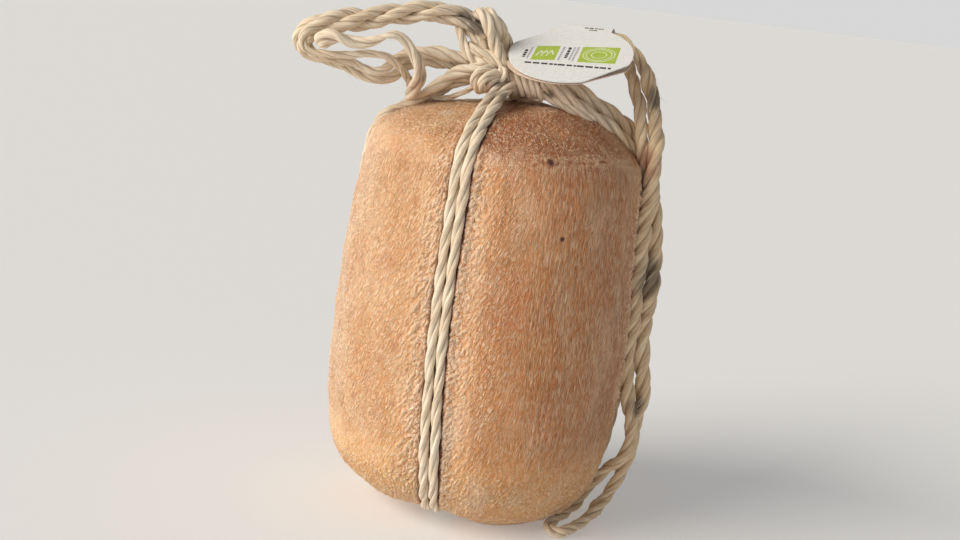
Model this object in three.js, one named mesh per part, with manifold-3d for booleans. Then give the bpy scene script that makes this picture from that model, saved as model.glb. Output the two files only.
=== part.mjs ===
// A whole provolone cheese, corded for hanging, with its folded paper tag.
// Millimetres, +Z up. The cheese stands on a flat of its own base at z = 0, the origin is the
// middle of its footprint, and the side with the front pair of twines looks along -Y.
import * as THREE from 'three';
import { mergeVertices } from 'three/addons/utils/BufferGeometryUtils.js';
import Module from 'manifold-3d';

const wasm = await Module();
wasm.setup();

const rad = THREE.MathUtils.degToRad;
const smooth = THREE.MathUtils.smoothstep;

// ---- Cheese ----
const AXIS_X = 1.2;
// Height, radius on the left side, radius on the right side; the first row is the base flat's edge.
const PROFILE = [
  [0, 26, 43], [3, 34, 47.5], [10, 51, 54.5], [24, 64, 60.5], [46, 68.5, 64.5], [78, 69.5, 66],
  [110, 68.5, 64], [138, 66, 62.5], [156, 63.5, 61.5], [166, 62, 59.5], [175, 57.5, 51],
  [183, 39, 37], [188, 16, 21], [190, 0, 0],
];
const COLUMNS = 46;
const ROWS_PER_STATION = 2;
// Each corded side is drawn in between fuller lobes.
const LOBE_RISE = 1.2;
const LOBE_WIDTH = 13;
// The lobes set in above the foot and fade out over the shoulder.
const LOBES_FROM = [3, 25];
const LOBES_TO = [162, 186];
const LOBES_FADE = 0.75;

// ---- Twine ----
const TWINE = 4.6;
const GAP = 0.3;
const PAIR = 5;
// Grooves in the rind are cut this wide, so that their facets stay clear of the twine's.
const GROOVE = TWINE + 2.4 * GAP;
// The twine's centre line stands this far off the rind on the sides, and sinks in at the foot.
const STAND_OFF = 0.8;
const FOOT_SINK = 1.2;
const FOOT_TO = [8, 40];
const FLOOR_GAP = 0.4;
const SIDES = 8;
const THIN_SIDES = 6;
const TIGHT_STEP = 14;
// Azimuth of each corded side, counted from -Y towards +X; the front one drifts as it climbs halfway.
const RIGHT_SIDE = 92;
const LEFT_SIDE = -98;
const LEFT_DRIFT = 7;
const LEFT_DRIFT_FROM = [135, 166];
const FRONT_SIDE = -14.5;
const FRONT_DRIFT = -2.7;
const DRIFT_UP_TO = 97;
// How deep each side is drawn in.
const RIGHT_DIP = 1.6;
const LEFT_DIP = 2.4;
const FRONT_DIP = 3.4;

// Heights at which the twines are laid on the rind.
const SIDE_HEIGHTS = [166, 153, 135, 110, 85, 60, 38, 22, 12];
const LOW = TWINE / 2 + FLOOR_GAP;
// Distance from the middle and height of the twine under the base, for the lower and the upper pair.
const UNDER_RIGHT = [[51.3, 4.5], [43, LOW], [18, LOW]];
const UNDER_LEFT = [[44, 5.4], [34, LOW], [18, LOW]];
const UNDER_UPPER = [[46.5, 4.9], [37, LOW], [22, LOW + 0.8], [9, LOW + PAIR]];
// Reach of the channels through the base flat, and of the deeper one where the pairs cross.
const CHANNEL_WIDTH = PAIR + TWINE + 8 * GAP;
const CHANNEL_REACH = 47;
const CROSSING_REACH = 20;

// From the knot down to the shoulder, for each of the eight tight ends.
const RIGHT_TOP = [
  [[12.5, -7, 200.8], [16.8, -7, 198.7], [22.1, -7, 195.7], [28, -6.5, 192.4], [34.3, -5.5, 189.2],
    [41.2, -4.5, 185.9], [47.7, -3.5, 182.1], [53.3, -2.5, 178.1], [57.8, -1.5, 173.3]],
  [[12.4, -1, 202.2], [18, -0.5, 200.8], [24.2, 0.5, 199.2], [30, 1.5, 197.2], [35.9, 2.5, 194.2],
    [41.9, 3.2, 190.8], [47.9, 3.8, 187.5], [53, 4.1, 184.5], [57, 4.3, 180.3], [59.5, 4.4, 174.6]],
];
const LEFT_TOP = [
  [[-12.1, -9, 203.7], [-16.8, -9.5, 202.3], [-22.4, -9, 200.5], [-28, -7.5, 197.5], [-33, -5.5, 193.2],
    [-37.6, -3, 188.8], [-42.4, -0.8, 185.2], [-47.3, 0, 181.9], [-52.5, -0.6, 178.5], [-57, -1.3, 174.4]],
  [[-11.6, -5.5, 199.1], [-16.4, -5.5, 197.9], [-22.1, -4.5, 196.2], [-27.3, -2, 193.4],
    [-32.1, 1.5, 189.6], [-36.9, 4.2, 185.8], [-41.8, 5.2, 182.9], [-46.7, 5, 180.1],
    [-51.9, 4.4, 177.2], [-56.2, 3.9, 173.4]],
];
const FRONT_TOP = [
  [[-2.7, -3.5, 201.4], [-5.3, -9.5, 197.5], [-8.8, -19, 192.4], [-11.5, -28.5, 188.3],
    [-13.1, -35.5, 185.5], [-14.5, -40.1, 182.6], [-16.6, -51, 176.9]],
  [[2.8, -3.5, 201.2], [0.4, -10, 197.1], [-3, -20, 192.6], [-5.7, -29.5, 188.5], [-7.5, -36.5, 185.5],
    [-8.9, -41, 182.7], [-11.5, -52.2, 177]],
];
const BACK_TOP = [
  [[1, 4, 198], [4.4, 12, 193.5], [9.2, 25, 188.5], [13.5, 40, 185]],
  [[-5, 4, 198], [-2, 13, 193.5], [2.8, 26, 188.5], [7.5, 41, 185]],
];

// ---- Knot on top ----
const KNOT_TWINE = 4.4;
const KNOT_CORE = 7;
const WRAP_TWINE = 3.4;
const WRAPS = 5;
const WRAP_RADIUS = 4.35;
const WRAP_START = [1.1, -4, 198.1];
const WRAP_END = [13.3, -4, 196.2];
const WRAP_LEAN = -29;
const CORE_ROUTE = [
  [-19.4, -0.5, 217.5], [-16.1, -1.5, 213.1], [-11.2, -3, 206.6], [-3.6, -4, 199.5], [3, -4, 197.2],
  [15, -4, 196],
];
// The loop's twines come down over the top of the knot.
const NECK_ROUTES = [
  [[-19.2, 5, 222.3], [-20, 0, 224.8], [-18.5, -4.5, 226.3], [-16.1, -8, 225.4], [-13.9, -9, 222.6],
    [-12.2, -8.5, 219.1], [-10.2, -8, 215.2], [-8, -7.5, 211.2], [-6.2, -7.5, 207.5], [-4.1, -7, 203.7]],
  [[-17, 7, 223], [-17.2, 3, 225.5], [-15.7, -1, 226.8], [-13.3, -4, 226.1], [-10.6, -5.5, 223.8],
    [-8, -3.5, 220.6], [-5.7, 0.5, 216.5], [-3.9, 4, 212.1], [-2.5, 4.8, 207.3], [-1, 2, 202.6]],
  [[-25.8, 2, 222], [-26.3, -2.5, 219.2], [-25.3, -5, 216.1], [-23.5, -6, 211.9], [-20.8, -6.5, 208.3],
    [-17.7, -6.5, 205.1], [-14.3, -6.5, 203.3], [-10.6, -6, 202.4]],
  [[-22.7, -2, 212.3], [-20.2, -6, 210.8], [-16.5, -7, 209.9], [-12.5, -7.5, 208.9], [-8.5, -8, 207],
    [-4, -8, 203.3]],
  [[-21.2, -3.5, 207.2], [-17.4, -5.5, 206.4], [-13.2, -7.5, 205.5], [-8.5, -8, 203.6]],
];
// Turns on the front of the knot, where the left pair is tied in.
const TURN_ROUTES = [
  [[-8.4, -9, 206.6], [-12.8, -12.5, 204.9], [-16.2, -14.5, 202], [-17.3, -14.5, 198.1],
    [-16.1, -13, 194.6], [-13.7, -9.5, 193.1], [-11.6, -6, 195.1]],
  [[-6.4, -10, 204.5], [-10.1, -14, 202.7], [-12.8, -16, 199.6], [-13.9, -15.5, 196.4],
    [-12.8, -12, 193.5], [-10.6, -8, 194.5]],
  [[-5.6, -10.5, 201.9], [-8.4, -13.5, 199.8], [-10.4, -13.5, 196.9], [-10.6, -10, 193.7]],
  [[-6.3, -10, 205.4], [-4.5, -11, 202.1], [-5.4, -10.5, 198.4], [-7.8, -8, 195.5]],
];

// ---- Hanging loop: three strands laid together, opened beyond the tip ----
const STRAND = 3.8;
const STRAND_STEP = 6;
const LAY_RADIUS = 2.7;
const LAY_PITCH = 54;
const BUNDLE_ROUTE = [
  [-14.1, -2, 215.1], [-18.5, -2.5, 218.6], [-23.9, -3, 222.4], [-29, -3.5, 224.4], [-34.9, -4.5, 225],
  [-41, -5.5, 224.5], [-47.5, -6.5, 223.3], [-54, -7.5, 222.1], [-61.3, -8.5, 220.2],
  [-67.7, -9.5, 218.5], [-73.6, -10.5, 216.8], [-79.1, -11.5, 215.5], [-84.6, -12.5, 214.2],
  [-89.2, -13, 212.3],
];
// Where each strand goes on from the end of the laid bundle.
const STRAND_ENDS = [
  [[-92.1, -17.5, 209.7], [-93.5, -18.5, 205.9], [-91.9, -18.5, 202.8], [-88.1, -18, 201.5],
    [-82.7, -17.5, 201.4], [-75.7, -17.5, 201.8], [-68.3, -17.5, 203], [-61.8, -17.5, 203.9],
    [-56.9, -17, 203.4], [-52.9, -15.5, 201.7], [-50, -12.5, 199.1], [-47.8, -8.5, 196.2],
    [-46.3, -3.5, 193.2], [-45.8, 0.5, 190.5]],
  [[-91.6, -12, 207.2], [-92.1, -12, 203.8], [-89.8, -12.5, 201.3], [-86.3, -12.5, 199.7],
    [-81.3, -12.5, 198.9], [-75.5, -12.5, 198.5], [-71.1, -12.5, 198.6], [-66.9, -12.5, 197.3],
    [-62.8, -12.5, 196], [-58.5, -12, 196.8], [-55.3, -11, 199.2], [-52.5, -10, 202.2],
    [-48.9, -9, 204.7], [-43.3, -8, 206.2], [-36.3, -7, 207.2], [-29.1, -6, 206.8], [-23.7, -5.5, 205.9],
    [-19.6, -5, 205.2]],
  [[-94.2, -10.5, 211.4], [-96.7, -9.5, 207.6], [-96.4, -8.5, 203.6], [-93.8, -7.5, 200.1],
    [-89.7, -7, 198.6], [-85.1, -7, 197.8], [-79.7, -7, 196.9], [-73.6, -7, 195.2], [-67.6, -7, 192.9],
    [-62.1, -7, 192.1], [-56.4, -6.5, 193], [-52.2, -5.5, 195.7], [-49.1, -4.5, 199],
    [-45.3, -3.5, 201.4], [-39.7, -2.5, 202.8], [-33, -1.5, 203], [-26.6, -1, 202.4],
    [-21.6, -0.5, 202.3]],
];

// ---- Tail: the twine's cut end, turned back over the loop ----
const TAIL = 5;
const TAIL_ROUTE = [
  [-85.9, -22.5, 204.8], [-84.3, -22.5, 206.9], [-82, -22.5, 208.6], [-78.6, -22.5, 209.5],
  [-74.9, -22.5, 209.1], [-70.9, -22.5, 208.2], [-66.8, -22.5, 208.4], [-62.6, -23, 209.5],
  [-58.9, -23.5, 211.4], [-55.5, -24, 213], [-52.1, -23.8, 213.2], [-48.7, -23.2, 211.4],
  [-45.8, -22.3, 208.2], [-43.8, -21, 204.5], [-42.4, -19.5, 200.6], [-41.8, -17.5, 196.7],
  [-42.6, -12.5, 192.7], [-44.3, -8.5, 188.9], [-46.5, -4.5, 185.8],
];

// ---- Slack loop: one twine, doubled, from behind the tag down the right side to the floor ----
const SLACK = 5.2;
const SLACK_STEP = 9;
const SLACK_GROOVE = SLACK + 2.4 * GAP;
const SLACK_INNER = [
  [14, 6, 197], [28, 12, 205], [39.9, 16, 214.5], [47.1, 15.5, 215.7], [51.6, 11, 210.8], [54.3, 6, 205],
  [56.6, 1.5, 198.8], [58.6, -2.5, 192.2], [60, -5, 185.3], [61.1, -6.3, 178.4], [62.5, -6.3, 171.7],
  [64.7, -5.2, 165.4], [67.3, -4.4, 159.2], [69.9, -4, 153], [71.8, -4, 145.3], [73.2, -4, 136.6],
  [74.3, -4, 127.8], [74.9, -4.3, 118.9], [75.1, -5, 110.6], [74.5, -5.5, 103], [73.9, -6, 95.3],
  [74.2, -6.3, 87.3], [75.3, -6.5, 79.2], [77, -6.8, 71.7], [78.3, -7, 64.6], [78.1, -7, 58.2],
  [77.2, -6.5, 52], [77.2, -6, 44.9], [77.2, -5.5, 37.2], [76.4, -5, 30.4], [74.4, -5, 23.9],
  [72.3, -6.5, 18.1], [69.2, -9.5, 12.8], [65.5, -14, 8.3],
];
const SLACK_BIGHT = [
  [61, -20, 5], [56.4, -27, 3.3], [51.4, -35, 3.1], [46.8, -40.5, 3.1], [43.6, -40.5, 3.1],
  [41.3, -36.5, 3.1], [42.5, -30.5, 3.1], [46.5, -22, 3.1],
];
const SLACK_OUTER = [
  [52.3, -13.5, 5], [57.8, -8.2, 10.8], [62.4, -7, 17.5], [66.8, -8, 24.2], [70.5, -10.5, 28.4],
  [73, -12.5, 33], [74.6, -13.8, 38.3], [74.8, -14, 44.8], [73.9, -14, 51.1], [72, -13.5, 57.5],
  [70.1, -13, 64.4], [68.7, -12.5, 72.8], [68, -12.2, 81.8], [67.8, -12, 91.3], [67.8, -11.8, 100.8],
  [67.3, -11.8, 109.7], [66.7, -11.8, 118.1], [66.4, -11.8, 126.5], [66.4, -11.8, 134.9],
  [66.6, -11.8, 143.2], [66.9, -11.8, 150.6], [67.2, -11.8, 157.5], [67.4, -11.5, 164.4],
  [67.6, -10.2, 171], [67.3, -8.2, 178], [66.5, -6, 184.9], [65.5, -3.8, 191.3], [64, -1.5, 197.7],
  [62, 0.5, 203.6], [59.3, 2.5, 209.3], [55.9, 5, 214.6], [52.3, 8, 218.7], [47.7, 11.6, 222.7],
  [43.1, 12.9, 223.4], [31, 16.3, 223], [19.2, 19.6, 222.7], [15.6, 20.6, 221.6], [12.6, 20.6, 218.6],
  [10.8, 19.3, 214.3], [10, 16, 208.5], [10.5, 10, 202],
];
const SLACK_ROUTE = [...SLACK_INNER, ...SLACK_BIGHT, ...SLACK_OUTER];

// ---- Tag: a paper disc folded over the slack twine onto a second one ----
const TAG_CENTRE = [24, -10, 213.8];
const TAG_RADIUS = 27.5;
const CARD = 0.45;
const FOLD_BORE = 6;
const DISC_GAP = 0.5;
const TAG_TILT = 23.4;
const TAG_RISE = 8.4;
const FOLD_TURN = -17;
const FOLD_WIDTH = 25;
const FOLD_REACH = 28.6;
const DISC_SHIFT = -0.9;

const COLOURS = { rind: 0xc8946a, twine: 0xcbb38f, strand: 0xbfa684, paper: 0xe4e4e0 };

// ---- Helpers ----
function vectors(points) {
  return points.map((p) => new THREE.Vector3(...p));
}

function splineThrough(points) {
  return new THREE.CatmullRomCurve3(vectors(points), false, 'centripetal');
}

function closed(geometry) {
  geometry.deleteAttribute('normal');
  geometry.deleteAttribute('uv');
  return mergeVertices(geometry, 1e-4);
}

function toSolid(geometry) {
  const merged = closed(geometry);
  const triVerts = new Uint32Array(merged.index.array);
  const vertProperties = new Float32Array(merged.attributes.position.array);
  return new wasm.Manifold(new wasm.Mesh({ numProp: 3, vertProperties, triVerts }));
}

function toGeometry(solid) {
  const mesh = solid.getMesh();
  const geometry = new THREE.BufferGeometry();
  geometry.setAttribute('position', new THREE.BufferAttribute(mesh.vertProperties, 3));
  geometry.setIndex(new THREE.BufferAttribute(mesh.triVerts, 1));
  geometry.computeVertexNormals();
  return geometry;
}

function joined(solids) {
  return solids.reduce((whole, piece) => whole.add(piece));
}

// What is left of a piece after a cut, without the loose scraps.
function mainBody(solid) {
  const bodies = solid.decompose();
  return bodies.reduce((best, body) => (body.volume() > best.volume() ? body : best));
}

function roundSection(radius, sides = SIDES) {
  const corners = [];
  for (let i = 0; i < sides; i += 1) {
    const turn = (2 * Math.PI * (i + 0.5)) / sides;
    corners.push(new THREE.Vector2(radius * Math.cos(turn), radius * Math.sin(turn)));
  }
  return new THREE.Shape(corners);
}

function tube(points, diameter, step, sides = SIDES) {
  const path = splineThrough(points);
  const steps = Math.max(3, Math.round(path.getLength() / step));
  const settings = { steps, extrudePath: path, bevelEnabled: false };
  return toSolid(new THREE.ExtrudeGeometry(roundSection(diameter / 2, sides), settings));
}

// ---- Cheese ----
const profile = new THREE.CatmullRomCurve3(
  PROFILE.map(([height, left, right]) => new THREE.Vector3(left, right, height)), false, 'centripetal');

function frontAzimuth(height) {
  return FRONT_SIDE + (FRONT_DRIFT * Math.min(height, DRIFT_UP_TO)) / DRIFT_UP_TO;
}

// The left pair bears round to the front on the shoulder.
function leftAzimuth(height) {
  return LEFT_SIDE + LEFT_DRIFT * smooth(height, ...LEFT_DRIFT_FROM);
}

function cordedSides(height) {
  const front = frontAzimuth(height);
  return [[RIGHT_SIDE, RIGHT_DIP], [leftAzimuth(height), LEFT_DIP], [front, FRONT_DIP], [front + 180, FRONT_DIP]];
}

// Radius and height of the rind at a place along the profile (0 to 1) and an azimuth.
function rindAt(along, azimuth) {
  const { x: left, y: right, z: height } = profile.getPoint(along);
  const share = (1 + Math.sin(rad(azimuth))) / 2;
  const plain = left * (1 - share) + right * share;
  const strength = smooth(height, ...LOBES_FROM) * (1 - LOBES_FADE * smooth(height, ...LOBES_TO));
  let dip = -LOBE_RISE;
  for (const [side, depth] of cordedSides(height)) {
    const away = ((azimuth - side + 540) % 360) - 180;
    const arc = plain * rad(away);
    dip += depth * Math.exp(-((arc / LOBE_WIDTH) ** 2));
  }
  return { radius: plain - dip * strength, height };
}

function aroundAxis(radius, azimuth, height) {
  return [AXIS_X + radius * Math.sin(rad(azimuth)), -radius * Math.cos(rad(azimuth)), height];
}

function cheeseBody() {
  const rows = (PROFILE.length - 1) * ROWS_PER_STATION;
  const positions = [AXIS_X, 0, 0];
  for (let row = 0; row < rows; row += 1) {
    for (let column = 0; column < COLUMNS; column += 1) {
      const azimuth = (360 * column) / COLUMNS;
      const { radius, height } = rindAt(row / rows, azimuth);
      positions.push(...aroundAxis(radius, azimuth, height));
    }
  }
  positions.push(AXIS_X, 0, PROFILE.at(-1)[0]);
  const apex = positions.length / 3 - 1;
  const index = [];
  for (let column = 0; column < COLUMNS; column += 1) {
    const here = 1 + column;
    const next = 1 + ((column + 1) % COLUMNS);
    index.push(0, next, here);
    for (let row = 0; row < rows - 1; row += 1) {
      const [a, b] = [here + row * COLUMNS, next + row * COLUMNS];
      const [c, d] = [a + COLUMNS, b + COLUMNS];
      index.push(a, b, d, a, d, c);
    }
    index.push(here + (rows - 1) * COLUMNS, next + (rows - 1) * COLUMNS, apex);
  }
  const geometry = new THREE.BufferGeometry();
  geometry.setAttribute('position', new THREE.Float32BufferAttribute(positions, 3));
  geometry.setIndex(index);
  return toSolid(geometry);
}

// ---- Tight twines, two to each side, each one whole loop from the knot round the base and back ----
function alongAtHeight(height) {
  let [low, high] = [0, 1];
  for (let i = 0; i < 30; i += 1) {
    const middle = (low + high) / 2;
    if (profile.getPoint(middle).z < height) low = middle;
    else high = middle;
  }
  return low;
}

// A point of the twine's centre line on the rind; sideways is its place within the pair.
function onRind(height, azimuth, sideways) {
  const along = alongAtHeight(height);
  const here = rindAt(along, azimuth);
  const below = rindAt(along - 0.004, azimuth);
  const slope = new THREE.Vector2(here.height - below.height, below.radius - here.radius).normalize();
  slope.multiplyScalar(STAND_OFF - FOOT_SINK * (1 - smooth(height, ...FOOT_TO)));
  return beside(aroundAxis(here.radius + slope.x, azimuth, here.height + slope.y), azimuth, sideways);
}

function beside([x, y, z], azimuth, sideways) {
  return [x + sideways * Math.cos(rad(azimuth)), y + sideways * Math.sin(rad(azimuth)), z];
}

function halfLoop(top, azimuthAt, sideways, under) {
  const side = SIDE_HEIGHTS.map((height) => onRind(height, azimuthAt(height), sideways));
  const foot = under.map(([reach, height]) => {
    return beside(aroundAxis(reach, azimuthAt(0), height), azimuthAt(0), sideways);
  });
  return [...top, ...side, ...foot];
}

function tightRoutes() {
  const half = PAIR / 2;
  const routes = {};
  [-half, half].forEach((offset, i) => {
    const right = halfLoop(RIGHT_TOP[i], () => RIGHT_SIDE, offset, UNDER_RIGHT);
    const left = halfLoop(LEFT_TOP[i], leftAzimuth, -offset, UNDER_LEFT);
    routes[`twine_across_${i + 1}`] = [...right, ...left.reverse()];
    const front = halfLoop(FRONT_TOP[i], frontAzimuth, offset, UNDER_UPPER);
    const back = halfLoop(BACK_TOP[1 - i], (height) => frontAzimuth(height) + 180, -offset, UNDER_UPPER);
    routes[`twine_fore_aft_${i + 1}`] = [...front, ...back.reverse()];
  });
  return routes;
}

// The groove of a pair has no ridge along its middle.
function pairMiddle(azimuthAt) {
  const middle = SIDE_HEIGHTS.map((height) => onRind(height, azimuthAt(height), 0));
  return tube(middle, TWINE, TIGHT_STEP, THIN_SIDES);
}

// Below the twines the base is cut away down to the floor.
function baseChannel(azimuth, reach, top) {
  const box = new THREE.BoxGeometry(2 * reach, CHANNEL_WIDTH, 2 * top);
  box.rotateZ(rad(azimuth - 90));
  box.translate(AXIS_X, 0, 0);
  return toSolid(box);
}

function baseChannels() {
  const across = (RIGHT_SIDE + LEFT_SIDE + 180) / 2;
  return joined([
    baseChannel(across, CHANNEL_REACH, LOW),
    baseChannel(FRONT_SIDE, CHANNEL_REACH, LOW),
    baseChannel(FRONT_SIDE, CROSSING_REACH, LOW + PAIR),
  ]);
}

// ---- Knot ----
// A route with both of its ends moved outwards.
function lengthened(points, by) {
  const line = vectors(points);
  for (const [end, inner] of [[line[0], line[1]], [line.at(-1), line.at(-2)]]) {
    end.addScaledVector(end.clone().sub(inner).normalize(), by);
  }
  return line.map((place) => place.toArray());
}

function wrapRing(place, grown) {
  const ring = new THREE.TorusGeometry(WRAP_RADIUS, WRAP_TWINE / 2 + grown, 6, 9);
  ring.rotateY(Math.PI / 2 + rad(WRAP_LEAN));
  ring.translate(place.x, place.y, place.z);
  return toSolid(ring);
}

function knotSolid(grown = 0) {
  const wide = 2 * grown;
  const [start, end] = vectors([WRAP_START, WRAP_END]);
  const pieces = [tube(lengthened(CORE_ROUTE, grown), KNOT_CORE + wide, 5)];
  for (const route of [...NECK_ROUTES, ...TURN_ROUTES]) {
    pieces.push(tube(lengthened(route, grown), KNOT_TWINE + wide, 6.5, THIN_SIDES));
  }
  for (let i = 0; i < WRAPS; i += 1) {
    pieces.push(wrapRing(start.clone().lerp(end, i / (WRAPS - 1)), grown));
  }
  return joined(pieces);
}

// ---- Free twines ----
// Above this share of rise a route counts as upright.
const STEEP = 0.8;

// Follows a route while turning round it, as one of the twines of a laid bundle does.
function laidAround(points, radius, pitch, phase, spacing) {
  const path = splineThrough(points);
  const length = path.getLength();
  const count = Math.round(length / spacing);
  const [up, back] = vectors([[0, 0, 1], [0, 1, 0]]);
  const turned = [];
  for (let i = 0; i <= count; i += 1) {
    const tangent = path.getTangentAt(i / count);
    const across = new THREE.Vector3().crossVectors(tangent, Math.abs(tangent.z) > STEEP ? back : up);
    across.normalize();
    const over = new THREE.Vector3().crossVectors(across, tangent);
    const turn = rad(phase) + (2 * Math.PI * length * i) / (count * pitch);
    const place = path.getPointAt(i / count);
    place.addScaledVector(across, radius * Math.cos(turn));
    place.addScaledVector(over, radius * Math.sin(turn));
    turned.push(place.toArray());
  }
  return turned;
}

function strandRoutes() {
  return STRAND_ENDS.map((end, i) => {
    return [...laidAround(BUNDLE_ROUTE, LAY_RADIUS, LAY_PITCH, 120 * i, STRAND_STEP), ...end];
  });
}

// ---- Tag ----
function cardShape(reach) {
  const shape = new THREE.Shape();
  const half = FOLD_WIDTH / 2;
  const start = Math.atan2(Math.sqrt(TAG_RADIUS ** 2 - half ** 2), half);
  shape.absarc(0, 0, TAG_RADIUS, Math.PI - start, 2 * Math.PI + start, false);
  shape.lineTo(half, reach);
  shape.lineTo(-half, reach);
  shape.closePath();
  return shape;
}

function card(reach) {
  return new THREE.ExtrudeGeometry(cardShape(reach), { depth: CARD, bevelEnabled: false, curveSegments: 20 });
}

// The folded edge: half a ring round the twine, open towards the discs.
function foldStrip() {
  const bore = FOLD_BORE / 2;
  const shape = new THREE.Shape();
  shape.absarc(0, 0, bore + CARD, -Math.PI / 2, Math.PI / 2, false);
  shape.absarc(0, 0, bore, Math.PI / 2, -Math.PI / 2, true);
  const strip = new THREE.ExtrudeGeometry(shape, { depth: FOLD_WIDTH, bevelEnabled: false, curveSegments: 6 });
  const [x, y, z] = vectors([[1, 0, 0], [0, 1, 0], [0, 0, 1]]);
  strip.applyMatrix4(new THREE.Matrix4().makeBasis(y, z, x));
  strip.translate(-FOLD_WIDTH / 2, FOLD_REACH - 0.01, -bore);
  return strip;
}

// The underside of the upper disc is at z = 0; the lower disc slopes from the fold up to it.
function tagSolid() {
  const lower = card(FOLD_REACH);
  const length = TAG_RADIUS + FOLD_REACH;
  lower.translate(DISC_SHIFT, -FOLD_REACH, -CARD / 2);
  lower.rotateX(Math.atan2(DISC_GAP - FOLD_BORE, length));
  lower.translate(0, FOLD_REACH, -FOLD_BORE - CARD / 2);
  return joined([toSolid(card(FOLD_REACH)), toSolid(lower), toSolid(foldStrip())]);
}

// ---- Assembly ----
const object = new THREE.Group();

function place(name, solid, colour, roughness, parent = object) {
  const material = new THREE.MeshStandardMaterial({ color: colour, roughness, metalness: 0 });
  const mesh = new THREE.Mesh(toGeometry(solid), material);
  mesh.name = name;
  parent.add(mesh);
  return mesh;
}

const aroundKnot = knotSolid(GAP);
let cheese = cheeseBody().subtract(aroundKnot);
const tight = tightRoutes();
for (const [name, route] of Object.entries(tight)) {
  cheese = cheese.subtract(tube(route, GROOVE, TIGHT_STEP, THIN_SIDES));
  const twine = tube(route, TWINE, TIGHT_STEP, THIN_SIDES);
  place(name, mainBody(twine.subtract(aroundKnot)), COLOURS.twine, 0.9);
}
const pairs = [() => RIGHT_SIDE, leftAzimuth, frontAzimuth, (height) => frontAzimuth(height) + 180];
for (const azimuthAt of pairs) cheese = cheese.subtract(pairMiddle(azimuthAt));
cheese = cheese.subtract(baseChannels());
cheese = cheese.subtract(tube(SLACK_ROUTE, SLACK_GROOVE, SLACK_STEP));
place('cheese', mainBody(cheese), COLOURS.rind, 0.55);
place('knot', mainBody(knotSolid()), COLOURS.twine, 0.9);

strandRoutes().forEach((route, i) => {
  const strand = tube(route, STRAND, STRAND_STEP, THIN_SIDES);
  place(`loop_strand_${i + 1}`, mainBody(strand.subtract(aroundKnot)), COLOURS.strand, 0.9);
});
place('tail', tube(TAIL_ROUTE, TAIL, 6), COLOURS.strand, 0.9);
const slack = tube(SLACK_ROUTE, SLACK, SLACK_STEP);
place('slack_loop', mainBody(slack.subtract(aroundKnot)), COLOURS.twine, 0.9);

const tagSeat = new THREE.Group();
tagSeat.position.set(...TAG_CENTRE);
tagSeat.rotation.set(rad(TAG_TILT), 0, 0);
tagSeat.rotation.order = 'YXZ';
tagSeat.rotation.y = rad(-TAG_RISE);
tagSeat.rotation.z = rad(FOLD_TURN);
object.add(tagSeat);
place('tag', tagSolid(), COLOURS.paper, 0.6, tagSeat);

export default object;
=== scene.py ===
# %% [markdown]
# A provolone is a cheese of stretched curd. The curd is moulded while it is hot, so it sets with a
# smooth skin, and then it ripens for months in a harness of plant-fibre twine. The twine draws the
# soft cheese in along four sides, and the skin dries into a fine wrinkled rind.
# The cheese, the knot and every twine already exist as plain solids. This lesson dresses them:
# the rind gets its wrinkles, each twine gets its plies, and the tag gets its print.

import math

import bpy
import numpy as np
from mathutils import Matrix, Vector
from mathutils.kdtree import KDTree


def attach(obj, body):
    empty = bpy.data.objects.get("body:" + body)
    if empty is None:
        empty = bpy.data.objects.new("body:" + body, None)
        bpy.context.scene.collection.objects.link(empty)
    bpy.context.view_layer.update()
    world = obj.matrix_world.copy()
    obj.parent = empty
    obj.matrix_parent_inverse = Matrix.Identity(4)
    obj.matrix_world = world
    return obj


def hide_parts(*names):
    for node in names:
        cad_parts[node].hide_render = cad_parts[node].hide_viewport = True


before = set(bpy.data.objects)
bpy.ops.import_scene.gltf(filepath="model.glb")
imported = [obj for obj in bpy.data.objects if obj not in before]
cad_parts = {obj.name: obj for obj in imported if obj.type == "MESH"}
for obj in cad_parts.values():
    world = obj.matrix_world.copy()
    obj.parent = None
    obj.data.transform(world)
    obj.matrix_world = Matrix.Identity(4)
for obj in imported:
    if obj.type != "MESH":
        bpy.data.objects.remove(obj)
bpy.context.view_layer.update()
MM = 0.001
print("nodes in the frame:", sorted(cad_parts))

# %% [markdown]
# The camera stands a little above the middle of the cheese, close enough for some perspective.
# It is rolled a few degrees, so that the cheese leans to the right in the view although it
# stands upright on its base. A matrix built from three directions says this more plainly than
# three angles would: the columns are the camera's right, its up, and the way back from the view.

# %% Camera
CAMERA_ELEVATION = 12
CAMERA_DISTANCE = 0.620
CAMERA_ROLL = 7
CAMERA_TARGET = Vector((-0.0042, 0.0, 0.110))
LENS_MM = 50
SENSOR_MM = 36
NEAREST_SEEN = 0.01


def placed(name, data):
    """Makes an object of a mesh, camera or light and puts it in the scene."""
    thing = bpy.data.objects.new(name, data)
    bpy.context.collection.objects.link(thing)
    return thing


def place_camera():
    rise = math.radians(CAMERA_ELEVATION)
    roll = math.radians(CAMERA_ROLL)
    back = Vector((0, -math.cos(rise), math.sin(rise)))
    right = Vector((1, 0, 0))
    up = back.cross(right)
    tilted_right = math.cos(roll) * right + math.sin(roll) * up
    tilted_up = math.cos(roll) * up - math.sin(roll) * right
    axes = Matrix((tilted_right, tilted_up, back)).transposed().to_4x4()
    data = bpy.data.cameras.new("camera")
    data.lens = LENS_MM
    data.sensor_width = SENSOR_MM
    data.clip_start = NEAREST_SEEN
    camera = placed("camera", data)
    camera.matrix_world = Matrix.Translation(CAMERA_TARGET + CAMERA_DISTANCE * back) @ axes
    bpy.context.scene.camera = camera
    return camera


camera = place_camera()
print("camera at", tuple(round(value, 3) for value in camera.matrix_world.translation))

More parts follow.
